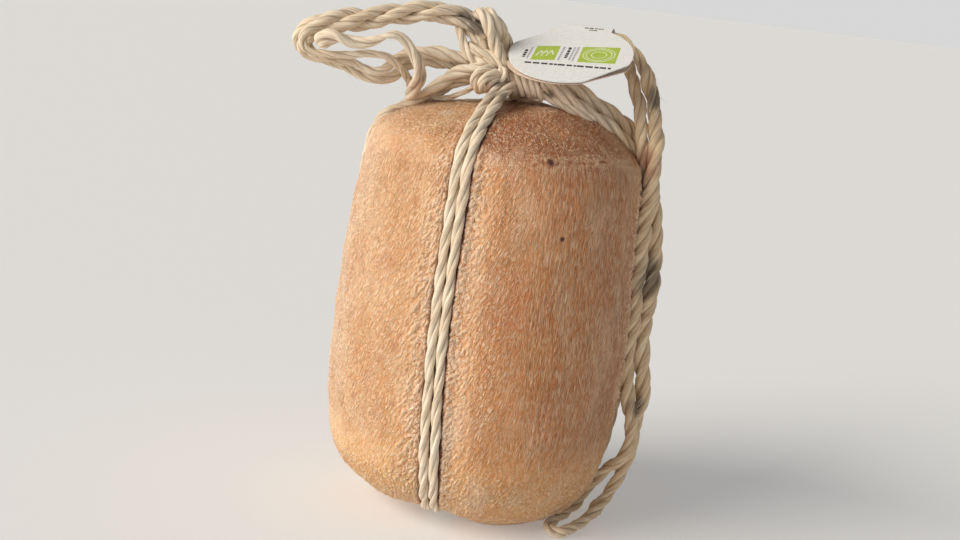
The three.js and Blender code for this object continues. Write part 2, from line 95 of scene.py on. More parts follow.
# %% [markdown]
# Every twine starts as a handful of points in the place where it lies. A Catmull-Rom curve passes
# through all of its points, which suits a route that was chosen point by point. The centripetal
# kind doesn't overshoot where points come close together. The curve is then cut into even steps,
# so that the twist and the fibres run at one scale along the whole twine.


# %% Smooth routes
def spline(points, per_span=16):
    points = np.asarray(points, float)
    points = np.vstack([2 * points[0] - points[1], points, 2 * points[-1] - points[-2]])
    u = np.linspace(0, 1, per_span, endpoint=False)[:, None]
    spans = []
    for a, b, c, d in zip(points, points[1:], points[2:], points[3:]):
        before, here, after = (np.linalg.norm(q - p) ** 0.5 for p, q in ((a, b), (b, c), (c, d)))
        start = ((b - a) / before - (c - a) / (before + here) + (c - b) / here) * here
        end = ((c - b) / here - (d - b) / (here + after) + (d - c) / after) * here
        from_start = (2 * u**3 - 3 * u**2 + 1) * b + (u**3 - 2 * u**2 + u) * start
        spans.append(from_start + (3 * u**2 - 2 * u**3) * c + (u**3 - u**2) * end)
    return np.vstack(spans + [points[-2:-1]])


def run_length(line):
    return np.concatenate([[0], np.cumsum(np.linalg.norm(np.diff(line, axis=0), axis=1))])


def evenly(line, step):
    reach = run_length(line)
    at = np.linspace(0, reach[-1], max(4, round(reach[-1] / step) + 1))
    return np.stack([np.interp(at, reach, line[:, axis]) for axis in range(3)], axis=1)


def route(points_mm):
    return spline(np.asarray(points_mm, float) * MM)


print("a route of three points becomes", len(route([[0, 0, 0], [5, 0, 2], [10, 0, 0]])), "points")

# %% [markdown]
# Rope makers lay strands round each other: each strand follows the middle of the rope and turns
# round it once in every lay length. The hanging loop is such a rope of three strands near the
# knot, and its strands come apart beyond the tip. The helix is worked out along the route, with
# the turn measured from a direction square to it.


# %% Laid strands
STEEP = 0.8


def laid_around(points_mm, radius, lay_length, phase, spacing):
    line = spline(points_mm)
    reach = run_length(line)
    length = reach[-1]
    count = round(length / spacing)
    at = np.linspace(0, length, count + 1)
    places = np.stack([np.interp(at, reach, line[:, axis]) for axis in range(3)], axis=1)
    ahead = np.gradient(line, axis=0)
    turned = []
    for i, place in enumerate(places):
        tangent = np.array([np.interp(at[i], reach, ahead[:, axis]) for axis in range(3)])
        tangent /= np.linalg.norm(tangent)
        across = np.cross(tangent, (0, 1, 0) if abs(tangent[2]) > STEEP else (0, 0, 1))
        across /= np.linalg.norm(across)
        over = np.cross(across, tangent)
        turn = math.radians(phase) + 2 * math.pi * at[i] / lay_length
        turned.append(place + radius * (across * math.cos(turn) + over * math.sin(turn)))
    return [list(point) for point in turned]


TWINE = 4.6
STRAND = 3.8
TAIL = 5
SLACK = 5.2
BUNDLE_RADIUS = 2.7
BUNDLE_LAY = 54
BUNDLE_STEP = 6
BUNDLE_ROUTE = [
    [-14.1, -2, 215.1], [-18.5, -2.5, 218.6], [-23.9, -3, 222.4], [-29, -3.5, 224.4], [-34.9, -4.5, 225],
    [-41, -5.5, 224.5], [-47.5, -6.5, 223.3], [-54, -7.5, 222.1], [-61.3, -8.5, 220.2],
    [-67.7, -9.5, 218.5], [-73.6, -10.5, 216.8], [-79.1, -11.5, 215.5], [-84.6, -12.5, 214.2],
    [-89.2, -13, 212.3],
]
STRAND_ENDS = [
    [[-92.1, -17.5, 209.7], [-93.5, -18.5, 205.9], [-91.9, -18.5, 202.8], [-88.1, -18, 201.5],
     [-82.7, -17.5, 201.4], [-75.7, -17.5, 201.8], [-68.3, -17.5, 203], [-61.8, -17.5, 203.9],
     [-56.9, -17, 203.4], [-52.9, -15.5, 201.7], [-50, -12.5, 199.1], [-47.8, -8.5, 196.2],
     [-46.3, -3.5, 193.2], [-45.8, 0.5, 190.5]],
    [[-91.6, -12, 207.2], [-92.1, -12, 203.8], [-89.8, -12.5, 201.3], [-86.3, -12.5, 199.7],
     [-81.3, -12.5, 198.9], [-75.5, -12.5, 198.5], [-71.1, -12.5, 198.6], [-66.9, -12.5, 197.3],
     [-62.8, -12.5, 196], [-58.5, -12, 196.8], [-55.3, -11, 199.2], [-52.5, -10, 202.2],
     [-48.9, -9, 204.7], [-43.3, -8, 206.2], [-36.3, -7, 207.2], [-29.1, -6, 206.8], [-23.7, -5.5, 205.9],
     [-19.6, -5, 205.2]],
    [[-94.2, -10.5, 211.4], [-96.7, -9.5, 207.6], [-96.4, -8.5, 203.6], [-93.8, -7.5, 200.1],
     [-89.7, -7, 198.6], [-85.1, -7, 197.8], [-79.7, -7, 196.9], [-73.6, -7, 195.2], [-67.6, -7, 192.9],
     [-62.1, -7, 192.1], [-56.4, -6.5, 193], [-52.2, -5.5, 195.7], [-49.1, -4.5, 199],
     [-45.3, -3.5, 201.4], [-39.7, -2.5, 202.8], [-33, -1.5, 203], [-26.6, -1, 202.4],
     [-21.6, -0.5, 202.3]],
]
STRAND_ROUTES = [
    laid_around(BUNDLE_ROUTE, BUNDLE_RADIUS, BUNDLE_LAY, 120 * i, BUNDLE_STEP) + end
    for i, end in enumerate(STRAND_ENDS)
]
TAIL_ROUTE = [
    [-85.9, -22.5, 204.8], [-84.3, -22.5, 206.9], [-82, -22.5, 208.6], [-78.6, -22.5, 209.5],
    [-74.9, -22.5, 209.1], [-70.9, -22.5, 208.2], [-66.8, -22.5, 208.4], [-62.6, -23, 209.5],
    [-58.9, -23.5, 211.4], [-55.5, -24, 213], [-52.1, -23.8, 213.2], [-48.7, -23.2, 211.4],
    [-45.8, -22.3, 208.2], [-43.8, -21, 204.5], [-42.4, -19.5, 200.6], [-41.8, -17.5, 196.7],
    [-42.6, -12.5, 192.7], [-44.3, -8.5, 188.9], [-46.5, -4.5, 185.8],
]
for i, points in enumerate(STRAND_ROUTES):
    print("strand", i + 1, "is", round(run_length(route(points))[-1] / MM), "mm long")

# %% [markdown]
# The slack twine is one piece. It leaves the knot behind the tag, comes down the right side, makes
# a bight on the table, and climbs back beside its own other half. It crosses in front of that half
# on the way up, and returns to the knot through the fold of the tag.

# %% Slack twine
SLACK_INNER = [
    [14, 6, 197], [28, 12, 205], [39.9, 16, 214.5], [47.1, 15.5, 215.7], [51.6, 11, 210.8], [54.3, 6, 205],
    [56.6, 1.5, 198.8], [58.6, -2.5, 192.2], [60, -5, 185.3], [61.1, -6.3, 178.4], [62.5, -6.3, 171.7],
    [64.7, -5.2, 165.4], [67.3, -4.4, 159.2], [69.9, -4, 153], [71.8, -4, 145.3], [73.2, -4, 136.6],
    [74.3, -4, 127.8], [74.9, -4.3, 118.9], [75.1, -5, 110.6], [74.5, -5.5, 103], [73.9, -6, 95.3],
    [74.2, -6.3, 87.3], [75.3, -6.5, 79.2], [77, -6.8, 71.7], [78.3, -7, 64.6], [78.1, -7, 58.2],
    [77.2, -6.5, 52], [77.2, -6, 44.9], [77.2, -5.5, 37.2], [76.4, -5, 30.4], [74.4, -5, 23.9],
    [72.3, -6.5, 18.1], [69.2, -9.5, 12.8], [65.5, -14, 8.3],
]
SLACK_BIGHT = [
    [61, -20, 5], [56.4, -27, 3.3], [51.4, -35, 3.1], [46.8, -40.5, 3.1], [43.6, -40.5, 3.1],
    [41.3, -36.5, 3.1], [42.5, -30.5, 3.1], [46.5, -22, 3.1],
]
SLACK_OUTER = [
    [52.3, -13.5, 5], [57.8, -8.2, 10.8], [62.4, -7, 17.5], [66.8, -8, 24.2], [70.5, -10.5, 28.4],
    [73, -12.5, 33], [74.6, -13.8, 38.3], [74.8, -14, 44.8], [73.9, -14, 51.1], [72, -13.5, 57.5],
    [70.1, -13, 64.4], [68.7, -12.5, 72.8], [68, -12.2, 81.8], [67.8, -12, 91.3], [67.8, -11.8, 100.8],
    [67.3, -11.8, 109.7], [66.7, -11.8, 118.1], [66.4, -11.8, 126.5], [66.4, -11.8, 134.9],
    [66.6, -11.8, 143.2], [66.9, -11.8, 150.6], [67.2, -11.8, 157.5], [67.4, -11.5, 164.4],
    [67.6, -10.2, 171], [67.3, -8.2, 178], [66.5, -6, 184.9], [65.5, -3.8, 191.3], [64, -1.5, 197.7],
    [62, 0.5, 203.6], [59.3, 2.5, 209.3], [55.9, 5, 214.6], [52.3, 8, 218.7], [47.7, 11.6, 222.7],
    [43.1, 12.9, 223.4], [31, 16.3, 223], [19.2, 19.6, 222.7], [15.6, 20.6, 221.6], [12.6, 20.6, 218.6],
    [10.8, 19.3, 214.3], [10, 16, 208.5], [10.5, 10, 202],
]
SLACK_ROUTE = SLACK_INNER + SLACK_BIGHT + SLACK_OUTER
print("slack twine is", round(run_length(route(SLACK_ROUTE))[-1] / MM), "mm long")

# %% [markdown]
# A twine's outline isn't round. Three plies press against each other, so a cut across it shows
# three lobes with a groove between each two. The sweep below carries such a section along the
# route and turns it as it goes, so the lobes become plies and the grooves wind round the twine.
# The columns of the mesh follow the plies, which keeps every groove sharp. Hand-rolled twine is
# never even: it has thick and thin places, and its plies bulge in turn.
# Each point also remembers where it is in the lay of the twine, so that the fibres of the
# finish can follow the plies too. A girth is a list of places along the twine, from 0 to 1, with
# how thick the twine is there.

# %% One laid twine
TWINE_STEP = 0.8 * MM
COLUMNS_PER_PLY = 10
LAY_OF_PLIES = 39
SECTION_REACH = 1.03
EVEN_GIRTH = ((0, 1), (1, 1))
TWIST_WANDER, TWIST_EVERY = 0.35, 24
PLY_WANDER, PLY_EVERY = 0.15, 12
STRIP_WANDER, STRIP_EVERY = 0.06, 7
END_GROOVE = 0.4
random = np.random.default_rng(11)


def wander(count, columns, every):
    """Smooth random values along a twine, one column each, about -1 to 1."""
    knots = random.normal(0, 0.5, (int(count / every) + 4, columns))
    at = np.arange(count) / every
    first = at.astype(int)
    share = (at - first)[:, None]
    share = share * share * (3 - 2 * share)
    return knots[first] * (1 - share) + knots[first + 1] * share


def carried_frames(line):
    tangent = np.gradient(line, axis=0)
    tangent /= np.linalg.norm(tangent, axis=1)[:, None]
    side = np.cross(tangent[0], (0.31, 0.2, 0.93))
    sides = []
    for direction in tangent:
        side = side - direction * (side @ direction)
        side = side / np.linalg.norm(side)
        sides.append(side)
    sides = np.array(sides)
    return tangent, sides, np.cross(tangent, sides)


def lobed_section(plies, columns, spread):
    """Reach of the outline round the twine: plies whose middles are spread out from its own."""
    angle = np.linspace(0, 2 * np.pi, columns, endpoint=False)
    within = angle % (2 * np.pi / plies) - np.pi / plies
    ply = SECTION_REACH - spread
    reach = spread * np.cos(within) + np.sqrt(ply**2 - (spread * np.sin(within)) ** 2)
    return angle, reach


def grid_faces(rows, columns, start):
    here = start + np.arange(rows - 1)[:, None] * columns + np.arange(columns)
    beside = start + np.arange(rows - 1)[:, None] * columns + (np.arange(columns) + 1) % columns
    quads = np.stack([here, beside, beside + columns, here + columns], axis=-1)
    return quads.reshape(-1, 4).tolist()


def rounded_ends(rows):
    close = np.minimum(np.arange(rows), np.arange(rows)[::-1])
    return np.sqrt(np.clip((close + 0.35) / 2.6, 0, 1))


def laid_twine(
    line, diameter, plies=3, lay=LAY_OF_PLIES, phase=0, spread=0.44, worn=1.0, girth=EVEN_GIRTH
):
    """One twine as a dictionary of points, faces, lay coordinates and groove depth."""
    line = evenly(line, TWINE_STEP)
    tangent, side, up = carried_frames(line)
    rows, columns = len(line), plies * COLUMNS_PER_PLY
    angle, section = lobed_section(plies, columns, spread)
    along = run_length(line)
    twist = 2 * np.pi * along / (lay * MM) + phase
    twist = twist + TWIST_WANDER * worn * wander(rows, 1, TWIST_EVERY)[:, 0]
    ply_of_column = np.arange(columns) // COLUMNS_PER_PLY
    thick = 1 + PLY_WANDER * worn * wander(rows, plies, PLY_EVERY)[:, ply_of_column]
    strip = STRIP_WANDER * worn * wander(rows, columns, STRIP_EVERY)
    swell = np.interp(along / along[-1], *zip(*girth)) * rounded_ends(rows)
    radius = diameter * MM / 2 * section * thick * (1 + strip) * swell[:, None]
    turn = angle[None, :] + twist[:, None]
    wide = (radius * np.cos(turn))[..., None] * side[:, None, :]
    high = (radius * np.sin(turn))[..., None] * up[:, None, :]
    points = (line[:, None, :] + wide + high).reshape(-1, 3)
    lay_place = np.empty((rows, columns, 3))
    lay_place[..., 0] = diameter * MM / 2 * np.cos(angle)
    lay_place[..., 1] = diameter * MM / 2 * np.sin(angle)
    lay_place[..., 2] = along[:, None]
    depth = (section.max() - section) / (section.max() - section.min())
    groove = np.broadcast_to(depth, (rows, columns)).reshape(-1)
    faces = grid_faces(rows, columns, 0)
    ends = len(points)
    for centre, row, flip in ((ends, 0, True), (ends + 1, rows - 1, False)):
        ring = [row * columns + c for c in range(columns)]
        pairs = zip(ring, ring[1:] + ring[:1])
        faces += [(centre, b, a) if flip else (centre, a, b) for a, b in pairs]
    return {
        "points": np.vstack([points, line[:1], line[-1:]]),
        "faces": faces,
        "lay": np.vstack([lay_place.reshape(-1, 3), [[0, 0, 0]], [[0, 0, along[-1]]]]),
        "groove": np.concatenate([groove, [END_GROOVE] * 2]),
    }


def remember(mesh, label, values):
    """Keeps a number or a vector for each point of a mesh, for its finish to read."""
    values = np.asarray(values).astype("f")
    kind, key = ("FLOAT", "value") if values.ndim == 1 else ("FLOAT_VECTOR", "vector")
    mesh.attributes.new(label, kind, "POINT").data.foreach_set(key, values.ravel())


def piece_from(name, parts, material):
    """Joins sweeps into one object, with their lay and groove kept on the points."""
    points, faces, start = [], [], 0
    for part in parts:
        points.append(part["points"])
        faces += [tuple(index + start for index in face) for face in part["faces"]]
        start += len(part["points"])
    mesh = bpy.data.meshes.new(name)
    mesh.from_pydata(np.vstack(points).tolist(), [], faces)
    remember(mesh, "lay", np.vstack([part["lay"] for part in parts]))
    remember(mesh, "groove", np.concatenate([part["groove"] for part in parts]))
    mesh.polygons.foreach_set("use_smooth", [True] * len(mesh.polygons))
    mesh.materials.append(material)
    return placed(name, mesh)


print("a twine has", 3 * COLUMNS_PER_PLY, "points round it, every", TWINE_STEP / MM, "mm")

# %% [markdown]
# All finishes are built from nodes. Colours are written as the hex values that a paint chart would
# give, and one function turns them into the linear values that light is computed with. A second
# function adds a node, sets it up and wires it in one line. A third lays paint over paint: each
# layer names a pattern, the two values between which it fades in, how much of it shows, and its
# colour. So a material reads as a list of what it is made of.


# %% Colours and nodes
PRODUCT = {"operation": "MULTIPLY"}
SPOT_CORE = 0.35


def linear(hex_colour):
    parts = [int(hex_colour[i:i + 2], 16) / 255 for i in (1, 3, 5)]
    return [p / 12.92 if p <= 0.04045 else ((p + 0.055) / 1.055) ** 2.4 for p in parts] + [1.0]


def add_node(tree, kind, settings=None, **links):
    """Adds a node. Settings are attributes or input values, links are sockets by input name."""
    node = tree.nodes.new(kind)
    for key, value in (settings or {}).items():
        if isinstance(key, int) or key in node.inputs:
            node.inputs[key].default_value = value
        else:
            setattr(node, key, value)
    for key, socket in links.items():
        name = int(key[1:]) if key[1:].isdigit() else key.replace("_", " ")
        tree.links.new(socket, node.inputs[name])
    return node


def new_finish(name, **shader):
    """A material with its shader, whose fixed values are set on the shader's own sockets."""
    material = bpy.data.materials.new(name)
    material.use_nodes = True
    tree = material.node_tree
    tree.nodes.clear()
    values = {key.replace("_", " "): value for key, value in shader.items()}
    surface = add_node(tree, "ShaderNodeBsdfPrincipled", values)
    add_node(tree, "ShaderNodeOutputMaterial", Surface=surface.outputs[0])
    return material, tree, surface


def painted(tree, base, layers):
    """Lays paint over a base colour. Each layer is (pattern, from, to, share, colour)."""
    colour = None
    for pattern, start, full, share, paint in layers:
        fade = {"interpolation_type": "SMOOTHSTEP", "From Min": start, "From Max": full, "To Max": share}
        shown = add_node(tree, "ShaderNodeMapRange", fade, Value=pattern).outputs[0]
        links = {"_0": shown} if colour is None else {"_0": shown, "_6": colour}
        mixed = {"data_type": "RGBA", 6: linear(base), 7: linear(paint)}
        colour = add_node(tree, "ShaderNodeMix", mixed, **links).outputs[2]
    return colour


def spot_mask(tree, place, spots):
    """How strongly a point lies in one of several spots, each (x, y, z, radius, strength) in mm."""
    total = None
    for x, y, z, radius, strength in spots:
        centre = {"operation": "DISTANCE", 1: (x * MM, y * MM, z * MM)}
        away = add_node(tree, "ShaderNodeVectorMath", centre, _0=place).outputs["Value"]
        fade = {"From Min": radius * MM, "From Max": radius * MM * SPOT_CORE, "To Max": strength}
        near = add_node(tree, "ShaderNodeMapRange", fade, Value=away).outputs[0]
        if total is not None:
            larger = {"operation": "MAXIMUM"}
            near = add_node(tree, "ShaderNodeMath", larger, _0=total, _1=near).outputs[0]
        total = near
    return total


print("straw in linear light:", [round(value, 3) for value in linear("#CDB792")])

# %% [markdown]
# The twine is rolled rush: strips of dried leaf twisted into plies. It is matt, with fine fibres
# that run along each ply, pale where they are rubbed. Its grooves are painted brown, which is
# painted shade between the plies. The twines on the right, the side away from the window, are
# painted darker and yellower: partly their own colour, partly painted shade. Leaf reflects light
# like most plant matter, with an IOR near 1.5 and a rough surface. A faint sheen stands for the
# loose ends of fibres that are too fine to model.
# The fibres are about 0.2 mm apart and millimetres long. They are drawn 0.35 mm apart, so that
# they show, and the noise is stretched along the lay.

# %% Rush twine
STAINS_GREY = [
    (-19, -6, 221, 7, 0.8), (-24, -5, 224, 7, 0.75), (-34, -6, 226, 9, 0.3), (-6, -14, 196, 6, 0.5),
    (-9, -22, 191, 8, 0.55), (-4, -22, 191, 8, 0.6), (-14, -9, 197, 4, 0.6), (-3, -11, 199, 4, 0.45),
    (72, -9, 118, 15, 0.7), (66, -6, 199, 9, 0.85), (75, -13, 58, 8, 0.75),
    (57, 3, 211, 8, 0.4), (43, -41, 3, 4, 0.5), (-41, -14, 197, 7, 0.6), (17, -9, 195, 4, 0.5),
    (-50, 5, 181, 8, 0.4), (45, -4, 184, 9, 0.35),
]
STAINS_RED = [(65, -8, 172, 8, 0.8), (66, -12, 166, 6, 0.6)]
PATCH_SIZE = 20
# Spacing across the ply in mm, stretch along it, and detail of the noise.
FIBRES = {"fibres": (0.35, 18, 4), "strips": (1.3, 11, 3), "bands": (6, 1.4, 3)}


def rush_twine(name, straw):
    material, tree, surface = new_finish(
        name, Roughness=0.8, IOR=1.48, Sheen_Weight=0.12, Sheen_Roughness=0.5
    )
    lay = add_node(tree, "ShaderNodeAttribute", {"attribute_name": "lay"}).outputs["Vector"]
    groove = add_node(tree, "ShaderNodeAttribute", {"attribute_name": "groove"}).outputs["Fac"]
    place = add_node(tree, "ShaderNodeTexCoord").outputs["Object"]
    seen = {}
    for key, (spacing, stretch, detail) in FIBRES.items():
        size = (spacing * MM, spacing * MM, spacing * MM * stretch)
        scaled = {"vector_type": "TEXTURE", "Scale": size}
        at = add_node(tree, "ShaderNodeMapping", scaled, Vector=lay).outputs[0]
        noise = {"Scale": 1, "Detail": detail}
        seen[key] = add_node(tree, "ShaderNodeTexNoise", noise, Vector=at).outputs[0]
    noise = {"Scale": 1 / (PATCH_SIZE * MM), "Detail": 2}
    patches = add_node(tree, "ShaderNodeTexNoise", noise, Vector=place).outputs[0]
    grey = spot_mask(tree, place, STAINS_GREY)
    grey = add_node(tree, "ShaderNodeMath", PRODUCT, _0=grey, _1=seen["strips"]).outputs[0]
    red = spot_mask(tree, place, STAINS_RED)
    right = add_node(tree, "ShaderNodeSeparateXYZ", _0=place).outputs["X"]
    # The first layer paints the right-hand twines darker, partly their own colour and partly painted shade;
    # the groove layer is painted shade.
    colour = painted(tree, straw, [
        (right, 0.035, 0.06, 0.5, "#D9B274"), (patches, 0.35, 0.65, 0.4, "#DFC39C"),
        (seen["bands"], 0.5, 0.75, 0.3, "#BF9C74"), (seen["strips"], 0.5, 0.68, 0.3, "#B4946F"),
        (seen["strips"], 0.42, 0.3, 0.4, "#F9EEDA"), (seen["fibres"], 0.5, 0.72, 0.55, "#94725A"),
        (seen["fibres"], 0.45, 0.28, 0.5, "#FFF8EA"), (groove, 0.6, 1.0, 0.5, "#7C563C"),
        (grey, 0.08, 0.42, 0.8, "#5A5048"), (red, 0, 1, 0.8, "#8E4A2E"),
    ])
    tree.links.new(colour, surface.inputs["Base Color"])
    coarse = {"Strength": 0.9, "Distance": 0.5 * MM}
    coarse = add_node(tree, "ShaderNodeBump", coarse, Height=seen["strips"]).outputs[0]
    fine = {"Strength": 0.9, "Distance": 0.35 * MM}
    fine = add_node(tree, "ShaderNodeBump", fine, Height=seen["fibres"], Normal=coarse).outputs[0]
    tree.links.new(fine, surface.inputs["Normal"])
    return material


twine_finish = rush_twine("rush_twine", "#F7E7CE")
print("fibres are", FIBRES["fibres"][0], "mm apart across the ply")

# %% [markdown]
# The five free twines come first, because they are the ones that reach furthest from the cheese.
# Each is swept along its route, with its real length and thickness. The strands of the loop are flat
# ribbons of leaf, so their grooves are shallow, and they fill out where they lie together. The
# tail has only two plies.


def free_twine(name, node, points, diameter, far_end, **look):
    line = route(points)
    piece = piece_from(name, [laid_twine(line, diameter, **look)], twine_finish)
    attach(piece, "root")
    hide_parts(node)


STRAND_GIRTHS = [
    [(0, 1.25), (0.33, 1.25), (0.42, 1.6), (0.52, 1.5), (0.62, 0.9), (0.85, 0.9), (1, 1.1)],
    [(0, 1.25), (0.35, 1.3), (0.43, 1.65), (0.52, 1.4), (0.6, 0.85), (0.7, 0.9), (0.84, 1.4),
     (0.93, 1.55), (1, 1.3)],
    [(0, 1.25), (0.33, 1.3), (0.42, 1.65), (0.5, 1.4), (0.6, 0.9), (0.7, 0.95), (0.84, 1.35),
     (0.93, 1.5), (1, 1.3)],
]
for i, points in enumerate(STRAND_ROUTES):
    free_twine(
        f"laid_loop_strand_{i + 1}", f"loop_strand_{i + 1}", points, STRAND, "object",
        lay=30, phase=2.1 * i, spread=0.4, girth=STRAND_GIRTHS[i],
    )
TAIL_GIRTH = [(0, 1.1), (0.35, 0.95), (0.6, 0.9), (0.76, 1.05), (0.88, 1.45), (1, 1.6)]
free_twine(
    "laid_tail", "tail", TAIL_ROUTE[::-1], TAIL, "bare", plies=2, lay=40, spread=0.43, girth=TAIL_GIRTH
)
SLACK_GIRTH = [
    (0, 0.95), (0.12, 1.15), (0.17, 1.3), (0.22, 1.5), (0.32, 1.45), (0.36, 1.2), (0.42, 1.1),
    (0.45, 0.92), (0.52, 0.92), (0.58, 1.15), (0.66, 1.45), (0.7, 1.6), (0.75, 1.6), (0.8, 1.4),
    (0.87, 1.3), (0.9, 0.75), (0.94, 0.7), (0.96, 0.5), (0.985, 0.5), (1, 0.95),
]
free_twine(
    "laid_slack_loop", "slack_loop", SLACK_ROUTE, SLACK, "object", lay=32, worn=1.3, girth=SLACK_GIRTH
)

# %% [markdown]
# The cheese has a different outline on its left and on its right, and each corded side is drawn in.
# Its surface is described by a place along the outline and an azimuth, in the same way as the
# solid, so that the tight twines and the rind find each other. The foot is arched under the front
# pair, where the twines pull the cheese up between two lobes.

# %% The shape of the cheese
AXIS_X = 1.2
PROFILE = [
    [0, 26, 43], [3, 34, 47.5], [10, 51, 54.5], [24, 64, 60.5], [46, 68.5, 64.5], [78, 69.5, 66],
    [110, 68.5, 64], [138, 66, 62.5], [156, 63.5, 61.5], [166, 62, 59.5], [175, 57.5, 51],
    [183, 39, 37], [188, 16, 21], [190, 0, 0],
]
LOBE_RISE = 1.2
LOBE_WIDTH = 13
RIGHT_SIDE = 92
LEFT_SIDE = -98
LEFT_DRIFT = 7
LEFT_DRIFT_FROM = 135
LEFT_DRIFT_TO = 166
FRONT_SIDE = -14.5
FRONT_DRIFT = -2.7
DRIFT_UP_TO = 97
FOOT_TURN = -3
FOOT_TURN_TO = 30
ARCH = 4.5
ARCH_WIDTH = 13
RIGHT_DIP = 1.6
LEFT_DIP = 2.4
FRONT_DIP = 3.4
outline = spline([[left, right, height] for height, left, right in PROFILE], 64)


def smooth(value, low, high):
    share = np.clip((value - low) / (high - low), 0, 1)
    return share * share * (3 - 2 * share)


def front_azimuth(height):
    drift = FRONT_DRIFT * np.minimum(height, DRIFT_UP_TO) / DRIFT_UP_TO
    return FRONT_SIDE + drift + FOOT_TURN * (1 - smooth(height, 0, FOOT_TURN_TO))


def back_azimuth(height):
    return front_azimuth(height) + 180


def left_azimuth(height):
    return LEFT_SIDE + LEFT_DRIFT * smooth(height, LEFT_DRIFT_FROM, LEFT_DRIFT_TO)


def rind_radius(left, right, height, azimuth):
    share = (1 + np.sin(np.radians(azimuth))) / 2
    plain = left * (1 - share) + right * share
    strength = smooth(height, 3, 25) * (1 - 0.75 * smooth(height, 162, 186))
    front = front_azimuth(height)
    dip = -LOBE_RISE
    corded = [
        (RIGHT_SIDE, RIGHT_DIP), (left_azimuth(height), LEFT_DIP),
        (front, FRONT_DIP), (front + 180, FRONT_DIP),
    ]
    for side, depth in corded:
        away = (azimuth - side + 540) % 360 - 180
        dip = dip + depth * np.exp(-((plain * np.radians(away) / LOBE_WIDTH) ** 2))
    return plain - dip * strength


def around_axis(radius, azimuth, height):
    turn = np.radians(azimuth)
    return np.stack(np.broadcast_arrays(AXIS_X + radius * np.sin(turn), -radius * np.cos(turn), height), -1)


def arched(points):
    """Lifts the foot under the front pair, where the twines pull it up between two lobes."""
    points = np.array(points, float)
    x, y, height = points[..., 0] - AXIS_X, -points[..., 1], points[..., 2]
    radius = np.hypot(x, y)
    away = radius * (np.arctan2(x, y) - np.radians(front_azimuth(0)))
    low = smooth(radius, 16, 34) * (1 - smooth(height, 2, 26))
    points[..., 2] += ARCH * np.exp(-((away / ARCH_WIDTH) ** 2)) * low
    return points


print("widest radius:", round(float(rind_radius(69.5, 66, 78, -60)), 1), "mm")

# %% [markdown]
# Four pairs of tight twine leave the knot, run down the cheese and meet under its base. They lie
# in the valleys that they have pressed into it. Their centre line stands a little off the rind
# on the sides and sinks in at the foot.

# %% Tight twine routes
PAIR = 4.6
CROSSING = 5
STAND_OFF = 0.8
FOOT_SINK = 1.2
SIDE_HEIGHTS = [166, 153, 135, 110, 85, 60, 38, 22, 12]
LOW = TWINE / 2 + 0.4
UNDER_RIGHT = [[51.3, 4.5], [43, LOW], [18, LOW]]
UNDER_LEFT = [[44, 5.4], [34, LOW], [18, LOW]]
UNDER_UPPER = [[46.5, 4.9], [37, LOW], [22, LOW + 0.8], [9, LOW + CROSSING]]
RIGHT_TOP = [
    [[12.5, -7, 200.8], [16.8, -7, 198.7], [22.1, -7, 195.7], [28, -6.5, 192.4], [34.3, -5.5, 189.2],
     [41.2, -4.5, 185.9], [47.7, -3.5, 182.1], [53.3, -2.5, 178.1], [57.8, -1.5, 173.3]],
    [[12.4, -1, 202.2], [18, -0.5, 200.8], [24.2, 0.5, 199.2], [30, 1.5, 197.2], [35.9, 2.5, 194.2],
     [41.9, 3.2, 190.8], [47.9, 3.8, 187.5], [53, 4.1, 184.5], [57, 4.3, 180.3], [59.5, 4.4, 174.6]],
]
LEFT_TOP = [
    [[-12.1, -9, 203.7], [-16.8, -9.5, 202.3], [-22.4, -9, 200.5], [-28, -7.5, 197.5], [-33, -5.5, 193.2],
     [-37.6, -3, 188.8], [-42.4, -0.8, 185.2], [-47.3, 0, 181.9], [-52.5, -0.6, 178.5], [-57, -1.3, 174.4]],
    [[-11.6, -5.5, 199.1], [-16.4, -5.5, 197.9], [-22.1, -4.5, 196.2], [-27.3, -2, 193.4],
     [-32.1, 1.5, 189.6], [-36.9, 4.2, 185.8], [-41.8, 5.2, 182.9], [-46.7, 5, 180.1],
     [-51.9, 4.4, 177.2], [-56.2, 3.9, 173.4]],
]
FRONT_TOP = [
    [[-2.4, -3.5, 201.4], [-4.9, -9.5, 197.5], [-8.3, -19, 192.4], [-11, -28.5, 188.3],
     [-12.7, -35.5, 185.5], [-14.2, -40.1, 182.6], [-16.4, -51, 176.9]],
    [[1.8, -3.5, 201.2], [-0.6, -10, 197.1], [-4, -20, 192.6], [-6.6, -29.5, 188.5], [-8.3, -36.5, 185.5],
     [-9.6, -41, 182.7], [-11.9, -52.2, 177]],
]
BACK_TOP = [
    [[1, 4, 198], [4.4, 12, 193.5], [9.2, 25, 188.5], [13.5, 40, 185]],
    [[-5, 4, 198], [-2, 13, 193.5], [2.8, 26, 188.5], [7.5, 41, 185]],
]


def rind_point(height, azimuth):
    """Radius and height on the rind, and the outward slope there."""
    row = np.searchsorted(outline[:, 2], height)
    radii = [rind_radius(*outline[r], azimuth) for r in (row - 4, row)]
    rise = outline[row, 2] - outline[row - 4, 2]
    slope = np.array([rise, radii[0] - radii[1]])
    return radii[1], outline[row, 2], slope / np.linalg.norm(slope)


def beside(point, azimuth, sideways):
    turn = math.radians(azimuth)
    return [point[0] + sideways * math.cos(turn), point[1] + sideways * math.sin(turn), point[2]]


def on_rind(height, azimuth, sideways):
    radius, level, slope = rind_point(height, azimuth)
    slope = slope * (STAND_OFF - FOOT_SINK * (1 - smooth(height, 8, 40)))
    return beside(around_axis(radius + slope[0], azimuth, level + slope[1]), azimuth, sideways)


def half_loop(top, azimuth_at, sideways, under):
    side = [on_rind(height, azimuth_at(height), sideways) for height in SIDE_HEIGHTS]
    base = azimuth_at(0)
    foot = [beside(around_axis(reach, base, height), base, sideways) for reach, height in under]
    return top + side + foot


